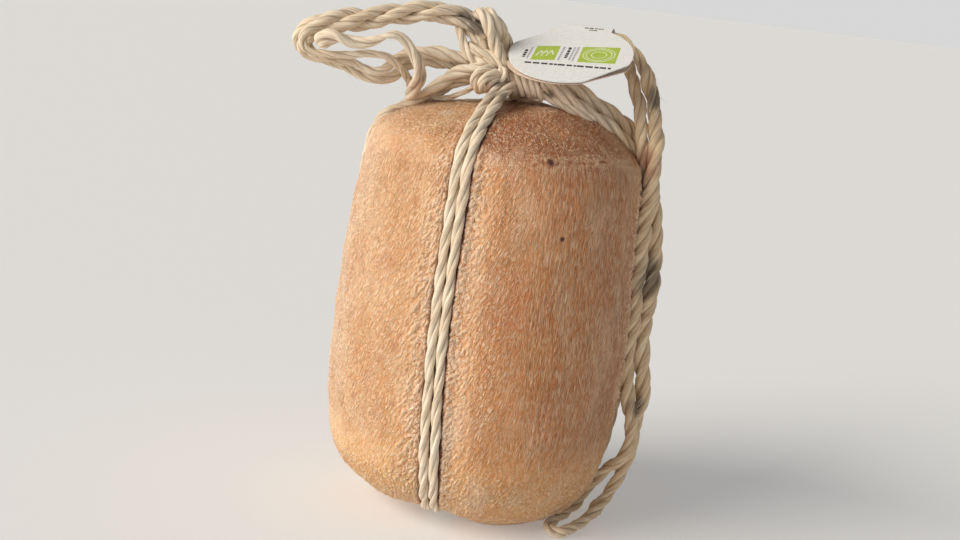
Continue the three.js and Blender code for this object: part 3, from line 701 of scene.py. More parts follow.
def tight_routes():
    routes = {}
    for i, offset in enumerate((-PAIR / 2, PAIR / 2)):
        right = half_loop(RIGHT_TOP[i], lambda height: RIGHT_SIDE, offset, UNDER_RIGHT)
        left = half_loop(LEFT_TOP[i], left_azimuth, -offset, UNDER_LEFT)
        routes[f"twine_across_{i + 1}"] = right + left[::-1]
        front = half_loop(FRONT_TOP[i], front_azimuth, offset, UNDER_UPPER)
        back = half_loop(BACK_TOP[1 - i], back_azimuth, -offset, UNDER_UPPER)
        routes[f"twine_fore_aft_{i + 1}"] = arched(front + back[::-1])
    return routes


tight = {name: route(points) for name, points in tight_routes().items()}
for name, line in tight.items():
    print(name, "is", round(run_length(line)[-1] / MM), "mm long")

# %% [markdown]
# The tight twines are laid like the free ones, with three plies each. They are thicker where they
# leave the knot, and the front and back pair thins a little at the foot.

# %% Tight twines
THICK_END = [(0, 1.3), (0.07, 1.4), (0.11, 1.2), (0.15, 1), (0.86, 1), (0.95, 1.2), (1, 1.25)]
WEB = [(0, 1.3), (0.05, 1.6), (0.09, 1.9), (0.12, 1.4), (0.15, 1), (1, 1)]
FORE_AFT = [(0, 1.05), (0.25, 1), (0.4, 0.92), (0.46, 0.86), (0.6, 1), (1, 1)]
TIGHT_GIRTHS = {"twine_across_1": THICK_END, "twine_across_2": WEB}
for i, (name, line) in enumerate(tight.items()):
    girth = TIGHT_GIRTHS.get(name, FORE_AFT)
    twine = laid_twine(line, TWINE, phase=1.3 * i, girth=girth)
    piece = piece_from("laid_" + name, [twine], twine_finish)
    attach(piece, "root")
    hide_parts(name)
    print(piece.name, "has", len(piece.data.polygons), "faces")

# %% [markdown]
# The rind is a fine mesh in four sectors, one for each field of cheese between two pairs of twine.
# Each meets its neighbours under the twines, where the seam can't be seen. The points are about
# half a millimetre apart, close enough to hold real wrinkles. The sectors are cut from one ring
# grid, and keep the normals of the whole grid, so the light runs over the seams too.

# %% Rings of the rind
SECTORS = ["front_left", "front_right", "back_right", "back_left"]
SECTOR_COLUMNS = 236
BASE_ROWS = 20
SIDE_ROWS = 395


def sector_azimuths(height):
    """Azimuths of the ring's columns, counted on from the left pair, with a seam at each pair."""
    front, left = front_azimuth(height), left_azimuth(height)
    seams = [left, front, RIGHT_SIDE, front + 180, left + 360]
    spans = [np.linspace(a, b, SECTOR_COLUMNS, endpoint=False) for a, b in zip(seams, seams[1:])]
    return np.concatenate(spans)


def rind_rings():
    reach = run_length(np.stack([outline[:, :2].mean(axis=1), outline[:, 2]], axis=1))
    at = np.linspace(0, reach[-1], SIDE_ROWS + 1)[:-1]
    rows = np.stack([np.interp(at, reach, outline[:, axis]) for axis in range(3)], axis=1)
    foot = sector_azimuths(0)
    rim = rind_radius(rows[0, 0], rows[0, 1], 0, foot)
    shares = np.linspace(1 / BASE_ROWS, 1, BASE_ROWS, endpoint=False)
    rings = [around_axis(rim * share, foot, 0) for share in shares]
    for left, right, height in rows:
        azimuth = sector_azimuths(height)
        rings.append(around_axis(rind_radius(left, right, height, azimuth), azimuth, height))
    return arched(rings)


def outward(rings):
    along = np.gradient(rings, axis=0)
    across = np.roll(rings, -1, axis=1) - np.roll(rings, 1, axis=1)
    normal = np.cross(across, along)
    return normal / np.maximum(np.linalg.norm(normal, axis=2), 1e-9)[..., None]


rings = rind_rings()
rind_points = rings.reshape(-1, 3)
rind_normals = outward(rings).reshape(-1, 3)
print("rind grid:", rings.shape[0], "rings of", rings.shape[1], "points")

# %% [markdown]
# Ripening dries the skin while the inside stays soft, so the skin folds into small raised worms.
# Such worms can be made from noise: where smooth noise crosses zero, its size has a sharp
# valley, and between the crossings it rises to a rounded back. The noise is Perlin's, which is
# made of random slopes on a lattice, blended between its corners. Stretching it makes the worms
# long, and turning it makes them lean.

# %% Noise for the relief
LATTICE = np.random.default_rng(5).permutation(4096)
SLOPES = np.random.default_rng(6).normal(size=(4096, 3))
SLOPES /= np.linalg.norm(SLOPES, axis=1)[:, None]


def perlin(points, shift=0):
    cell = np.floor(points).astype(int)
    inside = points - cell
    ease = inside**3 * (inside * (inside * 6 - 15) + 10)
    total = np.zeros(len(points))
    for corner in range(8):
        step = np.array([corner & 1, corner >> 1 & 1, corner >> 2 & 1])
        at = cell + step
        key = LATTICE[(at[:, 0] + LATTICE[(at[:, 1] + LATTICE[(at[:, 2] + shift) % 4096]) % 4096]) % 4096]
        weight = np.prod(np.where(step, ease, 1 - ease), axis=1)
        total += weight * np.einsum("ij,ij->i", SLOPES[key], inside - step)
    return total * 1.5


def worms(points, shift):
    """Rounded backs with sharp valleys between them, from 0 to about 1."""
    return np.abs((perlin(points, shift) + 0.35 * perlin(points * 2, shift + 31)) * 2) ** 0.75


sample = worms(np.random.default_rng(1).uniform(0, 40, (2000, 3)), 0)
print("worms rise from", round(sample.min(), 2), "to", round(sample.max(), 2))

# %% [markdown]
# The worms lean on the left and stand upright on the right. Beside the twines they crowd into a
# bubbly net that stands higher, and on the dome they are fine and run every way. To let
# them run along the skin, each point is also given its place on the unrolled skin: how far it is
# round the cheese, and how high. The modelled worms are 1.3 to 2.4 mm wide, which is as fine as the
# mesh can carry.

# %% Wrinkles
SKIN_RADIUS = 66
LEAN_LEFT = 21
LEAN_RIGHT = 3
# Lean in degrees, width and length of a worm in mm, and a shift that picks its own noise.
WORMS = {
    "leaning": (LEAN_LEFT, 1.4, 4.2, 50), "upright": (LEAN_RIGHT, 1.3, 14, 10),
    "net": (LEAN_LEFT, 1.8, 2.9, 90),
}
CRINKLE = (2.4, 2.4, 1.2)
HEIGHTS = {"leaning": 0.34, "upright": 0.26, "crinkle": 0.4, "net": 1.15}
MEAN_HEIGHT = 0.22
TURN_TO_RIGHT = (2, 26)
DOME = (163, 176)
NET_WIDTH = 13


def unrolled(points):
    turn = np.arctan2(points[:, 0] - AXIS_X, -points[:, 1])
    turn = np.where(turn > math.radians(FRONT_SIDE + 180), turn - 2 * math.pi, turn)
    return np.stack([SKIN_RADIUS * turn, points[:, 2], np.zeros(len(points))], axis=1)


def leaning(skin, lean, width, length):
    """Skin places scaled so that one unit of noise is one worm, which leans to the right.
    Neighbouring worms are shifted along themselves, so that they don't end in rows."""
    turn = math.radians(lean)
    across = (skin[:, 0] * math.cos(turn) - skin[:, 1] * math.sin(turn)) / width
    along = (skin[:, 0] * math.sin(turn) + skin[:, 1] * math.cos(turn)) / length
    shift = perlin(np.stack([across / 1.7, along / 4, skin[:, 2] + 0.5], axis=1), 700)
    return np.stack([across, along + 1.6 * shift, skin[:, 2]], axis=1)


def nearest_twine(points_mm, lines):
    """Distance to the nearest twine, the nearest point of its centre line, and which twine it is."""
    clouds = [evenly(line, 0.6 * MM) / MM for line in lines]
    owner = np.repeat(np.arange(len(clouds)), [len(cloud) for cloud in clouds])
    cloud = np.vstack(clouds)
    tree = KDTree(len(cloud))
    for i, point in enumerate(cloud):
        tree.insert(point, i)
    tree.balance()
    found = [tree.find(point) for point in points_mm]
    index = np.array([f[1] for f in found])
    return np.array([f[2] for f in found]), cloud[index], owner[index]


def wrinkles(points, skin, beside_twine):
    drift = perlin(points / 8, 400)[:, None]
    worm = {
        name: HEIGHTS[name] * worms(leaning(skin + drift, lean, width, length), shift)
        for name, (lean, width, length, shift) in WORMS.items()
    }
    crinkle = HEIGHTS["crinkle"] * worms((points + drift) / CRINKLE, 130)
    right = smooth(skin[:, 0], *TURN_TO_RIGHT)
    side = worm["leaning"] * (1 - right) + worm["upright"] * right
    dome = smooth(points[:, 2], *DOME)
    side = side * (1 - dome) + crinkle * dome
    foot = 0.45 * (1 - smooth(points[:, 2], 22, 50))
    squeezed = np.maximum(np.exp(-((beside_twine / NET_WIDTH) ** 2)) * (1 - 0.7 * dome), foot)
    swell = perlin(points / 21, 170) * 0.8 + perlin(points / 55, 190) * 1.1
    relief = side * (1 - squeezed) + worm["net"] * squeezed - MEAN_HEIGHT
    return relief, swell * smooth(points[:, 2], 2, 20)


skin = unrolled(rind_points)
twine_lines = list(tight.values())
pressed_lines = twine_lines + [route(SLACK_ROUTE)]
twine_distance, twine_nearest, twine_owner = nearest_twine(rind_points, pressed_lines)
relief, swell = wrinkles(rind_points, skin, twine_distance)
relief = relief * smooth(rind_points[:, 2], 0.5, 8)
print("wrinkles run from", round(relief.min(), 2), "to", round(relief.max(), 2), "mm")

# %% [markdown]
# A few marks belong to this one cheese: a crease with raised banks where the shoulder folded over,
# and a small crack on the front. The right shoulder rises to meet its twines. Then the twines are
# pressed in. Every rind point that would lie inside a twine moves to the twine's underside, so each
# groove fits its twine, and the rind swells a little beside it. Each point also remembers how
# closely a twine lies on it, more on the twine's right side, away from the window, and the finish
# paints a dark red painted shadow there.

# %% Crease and twine grooves
CREASE = [
    [14, -57.5, 169.5], [19.7, -56, 169.2], [28, -51, 170.3], [36.5, -44.8, 170.7],
    [46, -34, 170.2], [55.8, -20.8, 168.5],
]
CRACK = [[36.6, -55, 101], [37.6, -55, 96], [38.4, -54.8, 91.4]]
GROOVE = TWINE / 2 + 0.1
SLACK_GROOVE = SLACK / 2 + 0.9
LIP = 0.6
SHOULDER_LIFT = 1.9
PRESS_DEPTH = 7.5
LEFT_SHADOW_SHARE = 0.45


def dent(points, marks, width, depth):
    distance = np.full(len(points), 99.0)
    for mark in evenly(spline(marks), 0.7):
        distance = np.minimum(distance, np.linalg.norm(points - mark, axis=1))
    return -depth * np.exp(-((distance / width) ** 2))


wavering = rind_points + perlin(rind_points / 5, 260)[:, None] * 2.2
relief += dent(wavering, CREASE, 0.9, 0.65) - dent(wavering, CREASE, 3.2, 0.45)
relief += dent(rind_points, CRACK, 0.8, 0.6)
held = twine_owner < len(twine_lines)
lip = LIP * np.exp(-(((twine_distance - 4.2) / 1.7) ** 2)) * smooth(rind_points[:, 2], 3, 14) * held
shoulder = smooth(rind_points[:, 2], 160, 170) * smooth(rind_points[:, 0], 6, 20)
lifted = SHOULDER_LIFT * np.exp(-((np.maximum(twine_distance - 3.5, 0) / 8) ** 2)) * shoulder
shaped = rind_points + rind_normals * (relief + swell + lip + lifted)[:, None]


def press_in(points, normals, centres, radius):
    offset = points - centres
    depth = np.einsum("ij,ij->i", offset, normals)
    sideways = np.linalg.norm(offset - depth[:, None] * normals, axis=1)
    under = -np.sqrt(np.clip(radius**2 - sideways**2, 0, None))
    inside = (sideways < radius) & (depth > under) & (np.abs(depth) < PRESS_DEPTH)
    return points + np.where(inside, under - depth, 0)[:, None] * normals


shaped = press_in(shaped, rind_normals, twine_nearest, np.where(held, GROOVE, SLACK_GROOVE))
on_right = unrolled(rind_points)[:, 0] > unrolled(twine_nearest)[:, 0]
# Strength of the painted shadow beside each tight twine, stronger on its right side, away from the window.
twine_shadow = (1 - smooth(twine_distance, 2.3, 4.1)) * np.where(on_right, 1, LEFT_SHADOW_SHARE) * held
shaped_rings = shaped.reshape(rings.shape)
shaped_normals = outward(shaped_rings)
print("crease, crack and", len(pressed_lines), "grooves pressed in")

# %% [markdown]
# The rind of a ripened provolone is dried curd with a little fat in it: waxy, slightly see-through,
# satin rather than glossy. Fat and dried casein have an IOR near 1.46. Light goes a few
# millimetres in, which softens the shading, so a small share of it is scattered under the
# surface. The colour is peach to brown, with whitish bloom in patches and a few spots. On the
# right, pale upright hairs of dried skin cross the brown.
# Some light and shade is painted into the colour too. The rind turns from peach to brown towards
# the right, partly its own colour and partly painted shade on the side away from the window. Its
# left edge is painted paler, as painted light, and its far right and its dome are painted darker,
# as painted shade. The worms have painted light on their backs and painted shade in their valleys.
# Beside the twines the bubbly net has a painted highlight on its backs and dark red painted shade
# in its gaps, and a dark red painted shadow runs along each tight twine, mostly on its right side.
# The finest worms of the rind are under a millimetre wide, too fine for the mesh. The finish draws
# them as colour and bump, with the same sort of noise as the modelled ones and the same leans.

# %% Ripened rind
SPOTS_BROWN = [
    (19.4, -56, 170.7, 2.6, 0.9), (28.3, -57.8, 139.7, 1.6, 1.0), (45.4, -44.3, 152, 1.3, 0.8),
    (-17.8, -56.5, 171.5, 3.4, 0.6), (-18.8, -59.5, 158.7, 3.0, 0.4), (37.5, -55.3, 96, 1.5, 0.7),
    (10, -62, 120, 1.2, 0.6), (47, -43, 60, 1.3, 0.5), (-40, -50, 90, 1.2, 0.4), (20, 58, 130, 2.2, 0.8),
    (-35, 50, 70, 1.6, 0.7), (-48, 40, 150, 1.8, 0.6), (60, 20, 100, 1.5, 0.6),
]
BLOOM = [
    (-13.7, -66, 53, 22, 0.7), (2.6, -63, 25, 18, 0.7), (26, -55, 21, 18, 0.5), (-27.7, -26, 183, 7, 0.8),
    (-4.7, -60, 170, 7, 0.7), (-62, -25, 107, 22, 0.45), (30, -50, 155, 22, 0.35), (-10, 62, 40, 24, 0.6),
    (40, 45, 30, 20, 0.5), (-50, 35, 120, 20, 0.4),
]
ORANGE = [
    (18, -58, 108, 30, 0.8), (30, -55, 75, 26, 0.6), (52, -40, 120, 22, 0.4), (-42, -50, 120, 12, 0.5),
    (-62, -20, 90, 14, 0.4), (-20, -60, 160, 16, 0.5), (0, 64, 90, 30, 0.5), (45, 40, 110, 24, 0.5),
]
# Place that the noise is read in, width in mm, length over width, and lean in degrees.
WORM_FINISH = {
    "leaning": ("skin", 0.85, 4, LEAN_LEFT), "upright": ("skin", 0.65, 11, LEAN_RIGHT),
    "net": ("skin", 1.2, 1.7, LEAN_LEFT), "crinkle": ("skin", 1.7, 0.45, 0),
    "hairs": ("skin", 1.5, 8, LEAN_RIGHT),
}
# Spacing in mm and upright stretch.
CLOUD_FINISH = {"patches": (6, 2), "clouds": (26, 1.8), "bloom": (15, 2.2)}


def rind_patterns(tree, places):
    """Noise outputs by name: worms with valleys at 0, and clouds from 0 to 1."""
    seen = {}
    for name, (place, width, stretch, lean) in WORM_FINISH.items():
        size = (width * MM, width * MM * stretch, width * MM)
        turn = (0, 0, -math.radians(lean))
        scaled = {"vector_type": "TEXTURE", "Scale": size, "Rotation": turn}
        at = add_node(tree, "ShaderNodeMapping", scaled, Vector=places[place]).outputs[0]
        noise = {"normalize": False, "Scale": 1, "Detail": 2, "Distortion": 0.5}
        wave = add_node(tree, "ShaderNodeTexNoise", noise, Vector=at).outputs[0]
        seen[name] = add_node(tree, "ShaderNodeMath", {"operation": "ABSOLUTE"}, _0=wave).outputs[0]
    for name, (spacing, stretch) in CLOUD_FINISH.items():
        size = (spacing * MM, spacing * MM, spacing * MM * stretch)
        scaled = {"vector_type": "TEXTURE", "Scale": size}
        at = add_node(tree, "ShaderNodeMapping", scaled, Vector=places["space"]).outputs[0]
        noise = {"Scale": 1, "Detail": 3}
        seen[name] = add_node(tree, "ShaderNodeTexNoise", noise, Vector=at).outputs[0]
    return seen


def worm_field(tree, seen, masks):
    """One pattern of fine worms, which takes over from another wherever its mask says so."""
    field = seen["leaning"]
    for mask, start, full, name in masks:
        fade = {"From Min": start, "From Max": full}
        share = add_node(tree, "ShaderNodeMapRange", fade, Value=mask).outputs[0]
        field = add_node(tree, "ShaderNodeMix", _0=share, _2=field, _3=seen[name]).outputs[0]
    return field


def ripened_rind():
    material, tree, surface = new_finish(
        "ripened_rind", Roughness=0.42, IOR=1.46, Subsurface_Weight=0.15,
        Subsurface_Scale=0.003, Subsurface_Radius=(1.0, 0.45, 0.2),
    )
    space = add_node(tree, "ShaderNodeTexCoord").outputs["Object"]
    skin_place = add_node(tree, "ShaderNodeAttribute", {"attribute_name": "skin"}).outputs["Vector"]
    crest, twine, twine_shadow = (
        add_node(tree, "ShaderNodeAttribute", {"attribute_name": label}).outputs["Fac"]
        for label in ("crest", "twine_distance", "twine_shadow")
    )
    height = add_node(tree, "ShaderNodeSeparateXYZ", _0=space).outputs["Z"]
    round_it = add_node(tree, "ShaderNodeSeparateXYZ", _0=skin_place).outputs["X"]
    seen = rind_patterns(tree, {"space": space, "skin": skin_place})
    masks = [
        (round_it, TURN_TO_RIGHT[0] * MM, TURN_TO_RIGHT[1] * MM, "upright"), (twine, 16, 6, "net"),
        (height, 0.045, 0.025, "net"), (height, DOME[0] * MM, DOME[1] * MM, "crinkle"),
    ]
    field = worm_field(tree, seen, masks)
    fades = {
        "near": (twine, 16, 5), "hairy": (round_it, -0.01, 0.03), "thin": (seen["hairs"], 0.16, 0.04),
        "deep": (crest, 0.0, -0.2), "raised": (crest, 0.1, 0.5), "top": (height, 0.158, 0.174),
        "turned": (round_it, -0.05, 0.0),
    }
    for name, (pattern, start, full) in fades.items():
        fade = {"From Min": start, "From Max": full}
        seen[name] = add_node(tree, "ShaderNodeMapRange", fade, Value=pattern).outputs[0]
    seen["dust"] = spot_mask(tree, space, BLOOM)
    # Masks: hairs and dusty bloom are the rind's own colour; the others carry painted shade in the net's
    # gaps, a painted highlight on the net's backs and painted shade on the dome.
    hairs, painted_net_shade, painted_net_highlight, dusty, painted_dome_shade = (
        add_node(tree, "ShaderNodeMath", PRODUCT, _0=seen[one], _1=seen[other]).outputs[0]
        for one, other in (
            ("thin", "hairy"), ("deep", "near"), ("raised", "near"), ("dust", "bloom"), ("top", "turned"),
        )
    )
    # Painted light and shade in this list: the left edge paler and the right darker (first four layers, the
    # first partly the rind's own colour), the dome darker, pale crests and brown valleys on the worms, the
    # net's highlight and gaps, and the shadow beside the twines.
    colour = painted(tree, "#EDBD8E", [
        (round_it, -0.05, 0.045, 0.95, "#D8884B"), (round_it, -0.05, -0.1, 0.75, "#FAE0C6"),
        (round_it, 0.03, 0.07, 0.55, "#985A32"), (round_it, 0.076, 0.1, 0.5, "#744431"),
        (painted_dome_shade, 0, 1, 0.85, "#A65B32"), (height, 0.06, 0.01, 0.75, "#E6B068"),
        (spot_mask(tree, space, ORANGE), 0, 1, 0.65, "#CC702F"),
        (seen["clouds"], 0.42, 0.6, 0.4, "#D68C46"), (seen["patches"], 0.52, 0.66, 0.35, "#BA7238"),
        (seen["bloom"], 0.5, 0.66, 0.4, "#EBC29C"), (dusty, 0.15, 0.6, 0.75, "#EBD4BF"),
        (crest, -0.04, -0.24, 0.55, "#9A5426"), (crest, 0.06, 0.34, 0.4, "#F6D4AC"),
        (field, 0.1, 0.0, 0.5, "#A25C2C"), (field, 0.18, 0.42, 0.46, "#FBE0C0"),
        (hairs, 0.1, 0.9, 0.5, "#E6C296"), (painted_net_highlight, 0.1, 1, 0.4, "#F4DAC4"),
        (painted_net_shade, 0.1, 1, 0.8, "#7C3C22"), (twine_shadow, 0, 0.9, 0.85, "#661F10"),
        (spot_mask(tree, space, SPOTS_BROWN), 0, 1, 1, "#5E2A18"),
    ])
    tree.links.new(colour, surface.inputs["Base Color"])
    bump = add_node(tree, "ShaderNodeBump", {"Strength": 1.0, "Distance": 0.7 * MM}, Height=field)
    tree.links.new(bump.outputs[0], surface.inputs["Normal"])
    return material


rind_finish = ripened_rind()
print("rind finish has", len(rind_finish.node_tree.nodes), "nodes")

# %% [markdown]
# A sector takes its columns of the ring grid, closed at the top and under the base by one point
# each. Its points keep their height above the smooth skin, their place on the unrolled skin, how
# near a twine is, and the strength of the painted shadow beside it, because the finish reads all of
# these.


# %% Rind sectors
def grid_of_faces(rows, columns):
    here = np.arange(rows - 1)[:, None] * columns + np.arange(columns - 1)
    quads = np.stack([here, here + 1, here + columns + 1, here + columns], axis=-1)
    return quads.reshape(-1, 4).tolist()


def rind_sector(name, first):
    rows = len(shaped_rings)
    columns = np.arange(first, first + SECTOR_COLUMNS + 1) % shaped_rings.shape[1]
    count = rows * len(columns)
    ends = np.array([[AXIS_X, 0, PROFILE[-1][0]], [AXIS_X, 0, 0]])
    points = np.vstack([shaped_rings[:, columns].reshape(-1, 3), ends]) * MM
    faces = grid_of_faces(rows, len(columns))
    last = count - len(columns)
    for c in range(SECTOR_COLUMNS):
        faces += [(count + 1, c + 1, c), (last + c, last + c + 1, count)]
    mesh = bpy.data.meshes.new(name)
    mesh.from_pydata(points.tolist(), [], faces)
    picked = (np.arange(rows)[:, None] * shaped_rings.shape[1] + columns).reshape(-1)
    for label, values in (("crest", relief), ("twine_distance", twine_distance), ("twine_shadow", twine_shadow)):
        remember(mesh, label, np.append(values[picked], [0, 0]))
    remember(mesh, "skin", np.vstack([skin[picked], ends]) * MM)
    mesh.polygons.foreach_set("use_smooth", [True] * len(mesh.polygons))
    normals = np.vstack([shaped_normals.reshape(-1, 3)[picked], [[0, 0, 1], [0, 0, -1]]])
    mesh.normals_split_custom_set_from_vertices(normals.tolist())
    mesh.materials.append(rind_finish)
    piece = placed(name, mesh)
    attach(piece, "root")
    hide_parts("cheese")
    return piece


for i, name in enumerate(SECTORS):
    sector = rind_sector("rind_" + name, i * SECTOR_COLUMNS)
    print(sector.name, "has", len(sector.data.polygons), "faces")

# %% [markdown]
# The knot gathers every pair. A core of twine ends slopes down through it, four tight wraps bind it
# on the right, turns of twine hold it on the left, and a doubled neck rises to the hanging loop.
# Each of these is its own laid twine, wound over the others. A thin branch leaves the turns on the
# left, a strand drops beside the neck of the loop, and another lies along the dome under the first
# right-hand twine.

# %% Knot
WRAP_TWINE = 4.2
WRAP_TURNS = 4
WRAP_RADIUS = 4.3
WRAP_LEAN = 29
POINTS_PER_WRAP = 24
CORE_TWINE = 7
BRANCH_TWINE = 2.6
DROP_TWINE = 3.5
UNDERLAY_TWINE = 4
WRAP_START = np.array([-2, -4, 198.6])
WRAP_END = np.array([13.6, -4, 196.2])
CORE_ROUTE = [
    [-19.4, -0.5, 217.5], [-16.1, -1.5, 213.1], [-11.2, -3, 206.6], [-3.6, -4, 199.5], [3, -4, 197.2],
    [15, -4, 196],
]
NECK_ROUTES = [
    [[-19.2, 5, 222.3], [-20, 0, 224.8], [-18.5, -4.5, 226.3], [-16.1, -8, 225.4], [-13.9, -9, 222.6],
     [-12.2, -8.5, 219.1], [-10.2, -8, 215.2], [-8, -7.5, 211.2], [-6.2, -7.5, 207.5], [-4.1, -7, 203.7]],
    [[-17, 7, 223], [-17.2, 3, 225.5], [-15.7, -1, 226.8], [-13.3, -4, 226.1], [-10.6, -5.5, 223.8],
     [-8, -3.5, 220.6], [-5.7, 0.5, 216.5], [-3.9, 4, 212.1], [-2.5, 4.8, 207.3], [-1, 2, 202.6]],
    [[-25.8, 2, 222], [-26.3, -2.5, 219.2], [-25.3, -5, 216.1], [-23.5, -6, 211.9], [-20.8, -6.5, 208.3],
     [-17.7, -6.5, 205.1], [-14.3, -6.5, 203.3], [-10.6, -6, 202.4]],
    [[-22.7, -2, 212.3], [-20.2, -6, 210.8], [-16.5, -7, 209.9], [-12.5, -7.5, 208.9], [-8.5, -8, 207],
     [-4, -8, 203.3]],
    [[-21.2, -3.5, 207.2], [-17.4, -5.5, 206.4], [-13.2, -7.5, 205.5], [-8.5, -8, 203.6]],
]
NECK_TWINES = [5.8, 5.6, 4.2, 4.6, 4.6]
TURN_ROUTES = [
    [[-8.4, -9, 203.9], [-12.6, -12.5, 203], [-15.9, -14.5, 200.9], [-17, -14.5, 197.8],
     [-15.9, -13, 194.8], [-13.6, -9.5, 193.3], [-11.6, -6, 195.1]],
    [[-6.4, -10, 202.4], [-10, -14, 201.1], [-12.6, -16, 198.7], [-13.6, -15.5, 196.1],
     [-12.6, -12, 193.7], [-10.6, -8, 194.5]],
    [[-5.6, -10.5, 200.4], [-8.4, -13.5, 198.8], [-10.3, -13.5, 196.5], [-10.6, -10, 193.9]],
    [[-6.3, -10, 204.4], [-4.5, -11, 201.6], [-5.4, -10.5, 198.4], [-7.8, -8, 195.5]],
]
TURN_TWINES = [3.8, 3.9, 3.9, 4.4]
BRANCH_ROUTE = [
    [-14.3, -10, 196], [-16.9, -9, 194.4], [-19.8, -8, 192.1], [-23.5, -6.5, 189.9], [-27.9, -4.5, 188],
    [-32.5, -1.5, 186.6], [-35.4, 1, 186],
]
DROP_ROUTE = [
    [-48.8, -17, 209.7], [-45.9, -18, 208.4], [-42.4, -18.5, 204.9], [-40.4, -17.5, 200.8],
    [-39.8, -14.5, 196.3], [-41, -9.5, 191.8], [-42.9, -5, 188.3],
]
UNDERLAY_ROUTE = [
    [12.8, -5, 194.9], [16.1, -6.5, 193.6], [20.4, -7.5, 192], [26.9, -8.5, 189.7],
    [33.1, -8, 187.9], [39.3, -6.3, 185.7],
]


def wrap_line():
    turn = np.linspace(0, 2 * np.pi * WRAP_TURNS, WRAP_TURNS * POINTS_PER_WRAP)
    share = (turn / turn[-1])[:, None]
    middle = WRAP_START * (1 - share) + WRAP_END * share
    lean = math.radians(WRAP_LEAN)
    up = np.array([-math.sin(lean), 0, math.cos(lean)])
    offset = np.cos(turn)[:, None] * up - np.sin(turn)[:, None] * np.array([0, 1, 0])
    return (middle + WRAP_RADIUS * offset) * MM


def knot_parts():
    parts = [laid_twine(route(CORE_ROUTE), CORE_TWINE, plies=5, lay=60)]
    parts.append(laid_twine(wrap_line(), WRAP_TWINE, lay=30))
    twines = list(zip(NECK_ROUTES + TURN_ROUTES, NECK_TWINES + TURN_TWINES))
    twines.append((BRANCH_ROUTE, BRANCH_TWINE))
    twines.append((DROP_ROUTE, DROP_TWINE))
    twines.append((UNDERLAY_ROUTE, UNDERLAY_TWINE))
    for i, (points, thickness) in enumerate(twines):
        parts.append(laid_twine(route(points), thickness, lay=28, phase=i))
    return parts


knot = piece_from("bound_knot", knot_parts(), twine_finish)
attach(knot, "root")
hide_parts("knot")
print("knot has", len(knot.data.polygons), "faces")

# %% [markdown]
# The tag is thin card, cut as two discs that share a straight edge and folded over the slack
# twine along it. It is built flat in its own frame, as it would be cut, and then turned to the
# place where it hangs. The print is a skin of ink, modelled as thin raised shapes, which keeps
# its edges sharp. It is generic: two coloured fields, plain signs in them, and bars for text.

# %% Tag frame
TAG_CENTRE = Vector((0.024, -0.010, 0.2138))
TAG_RADIUS = 27.5
CARD = 0.45
FOLD_BORE = 6
DISC_GAP = 0.5
TAG_TILT = 23.4
TAG_RISE = 8.4
FOLD_TURN = -17
FOLD_WIDTH = 25
FOLD_REACH = 28.6
DISC_SHIFT = -1.5
STRAIGHT_SIDES = [(-38, 24.6), (141, 24.3)]
INK = 0.03


def tag_matrix():
    turn = Matrix.Rotation(math.radians(-TAG_RISE), 4, "Y")
    turn = turn @ Matrix.Rotation(math.radians(TAG_TILT), 4, "X")
    turn = turn @ Matrix.Rotation(math.radians(FOLD_TURN), 4, "Z")
    return Matrix.Translation(TAG_CENTRE) @ turn @ Matrix.Scale(MM, 4)


def card_outline():
    half = FOLD_WIDTH / 2
    start = math.atan2(math.sqrt(TAG_RADIUS**2 - half**2), half)
    angles = np.linspace(math.pi - start, 2 * math.pi + start, 96)
    rim = np.array([(TAG_RADIUS * math.cos(a), TAG_RADIUS * math.sin(a)) for a in angles])
    for direction, distance in STRAIGHT_SIDES:
        out = np.array([math.cos(math.radians(direction)), math.sin(math.radians(direction))])
        rim -= np.maximum(rim @ out - distance, 0)[:, None] * out
    return rim.tolist() + [(half, FOLD_REACH), (-half, FOLD_REACH)]


print("the tag's outline has", len(card_outline()), "corners")

# %% [markdown]
# Card doesn't stretch, so the tag is an outline with a thickness. The upper disc lies flat in the
# tag's frame. The lower one is the same outline, swung about the fold until the two almost meet at
# the far rim, and a half round strip joins them round the twine.


# %% Tag card
def extruded(shape, low, high):
    count = len(shape)
    points = [(x, y, low) for x, y in shape] + [(x, y, high) for x, y in shape]
    faces = [tuple(range(count))[::-1], tuple(range(count, 2 * count))]
    faces += [(i, (i + 1) % count, count + (i + 1) % count, count + i) for i in range(count)]
    return points, faces


def lower_disc():
    points, faces = extruded(card_outline(), -CARD, 0)
    angle = math.atan2(DISC_GAP - FOLD_BORE, TAG_RADIUS + FOLD_REACH)
    moved = []
    for x, y, z in points:
        out = y - FOLD_REACH
        y_turned = out * math.cos(angle) - z * math.sin(angle)
        z_turned = out * math.sin(angle) + z * math.cos(angle)
        shift = DISC_SHIFT * -out / (TAG_RADIUS + FOLD_REACH)
        moved.append((x + shift, y_turned + FOLD_REACH, z_turned - FOLD_BORE))
    return moved, faces


def fold_strip():
    bore = FOLD_BORE / 2
    turn = np.linspace(-math.pi / 2, math.pi / 2, 17)
    outer = [((bore + CARD) * math.cos(a), (bore + CARD) * math.sin(a)) for a in turn]
    inner = [(bore * math.cos(a), bore * math.sin(a)) for a in turn[::-1]]
    points, faces = extruded(outer + inner, -FOLD_WIDTH / 2, FOLD_WIDTH / 2)
    return [(x, FOLD_REACH - 0.01 + y, z - bore) for y, z, x in points], faces


def merged(name, shapes, materials):
    mesh = bpy.data.meshes.new(name)
    points, faces, slots = [], [], []
    for (shape_points, shape_faces), slot in shapes:
        start = len(points)
        points += shape_points
        faces += [tuple(i + start for i in face) for face in shape_faces]
        slots += [slot] * len(shape_faces)
    mesh.from_pydata(points, [], faces)
    mesh.transform(tag_matrix())
    for material in materials:
        mesh.materials.append(material)
    mesh.polygons.foreach_set("material_index", slots)
    return placed(name, mesh)


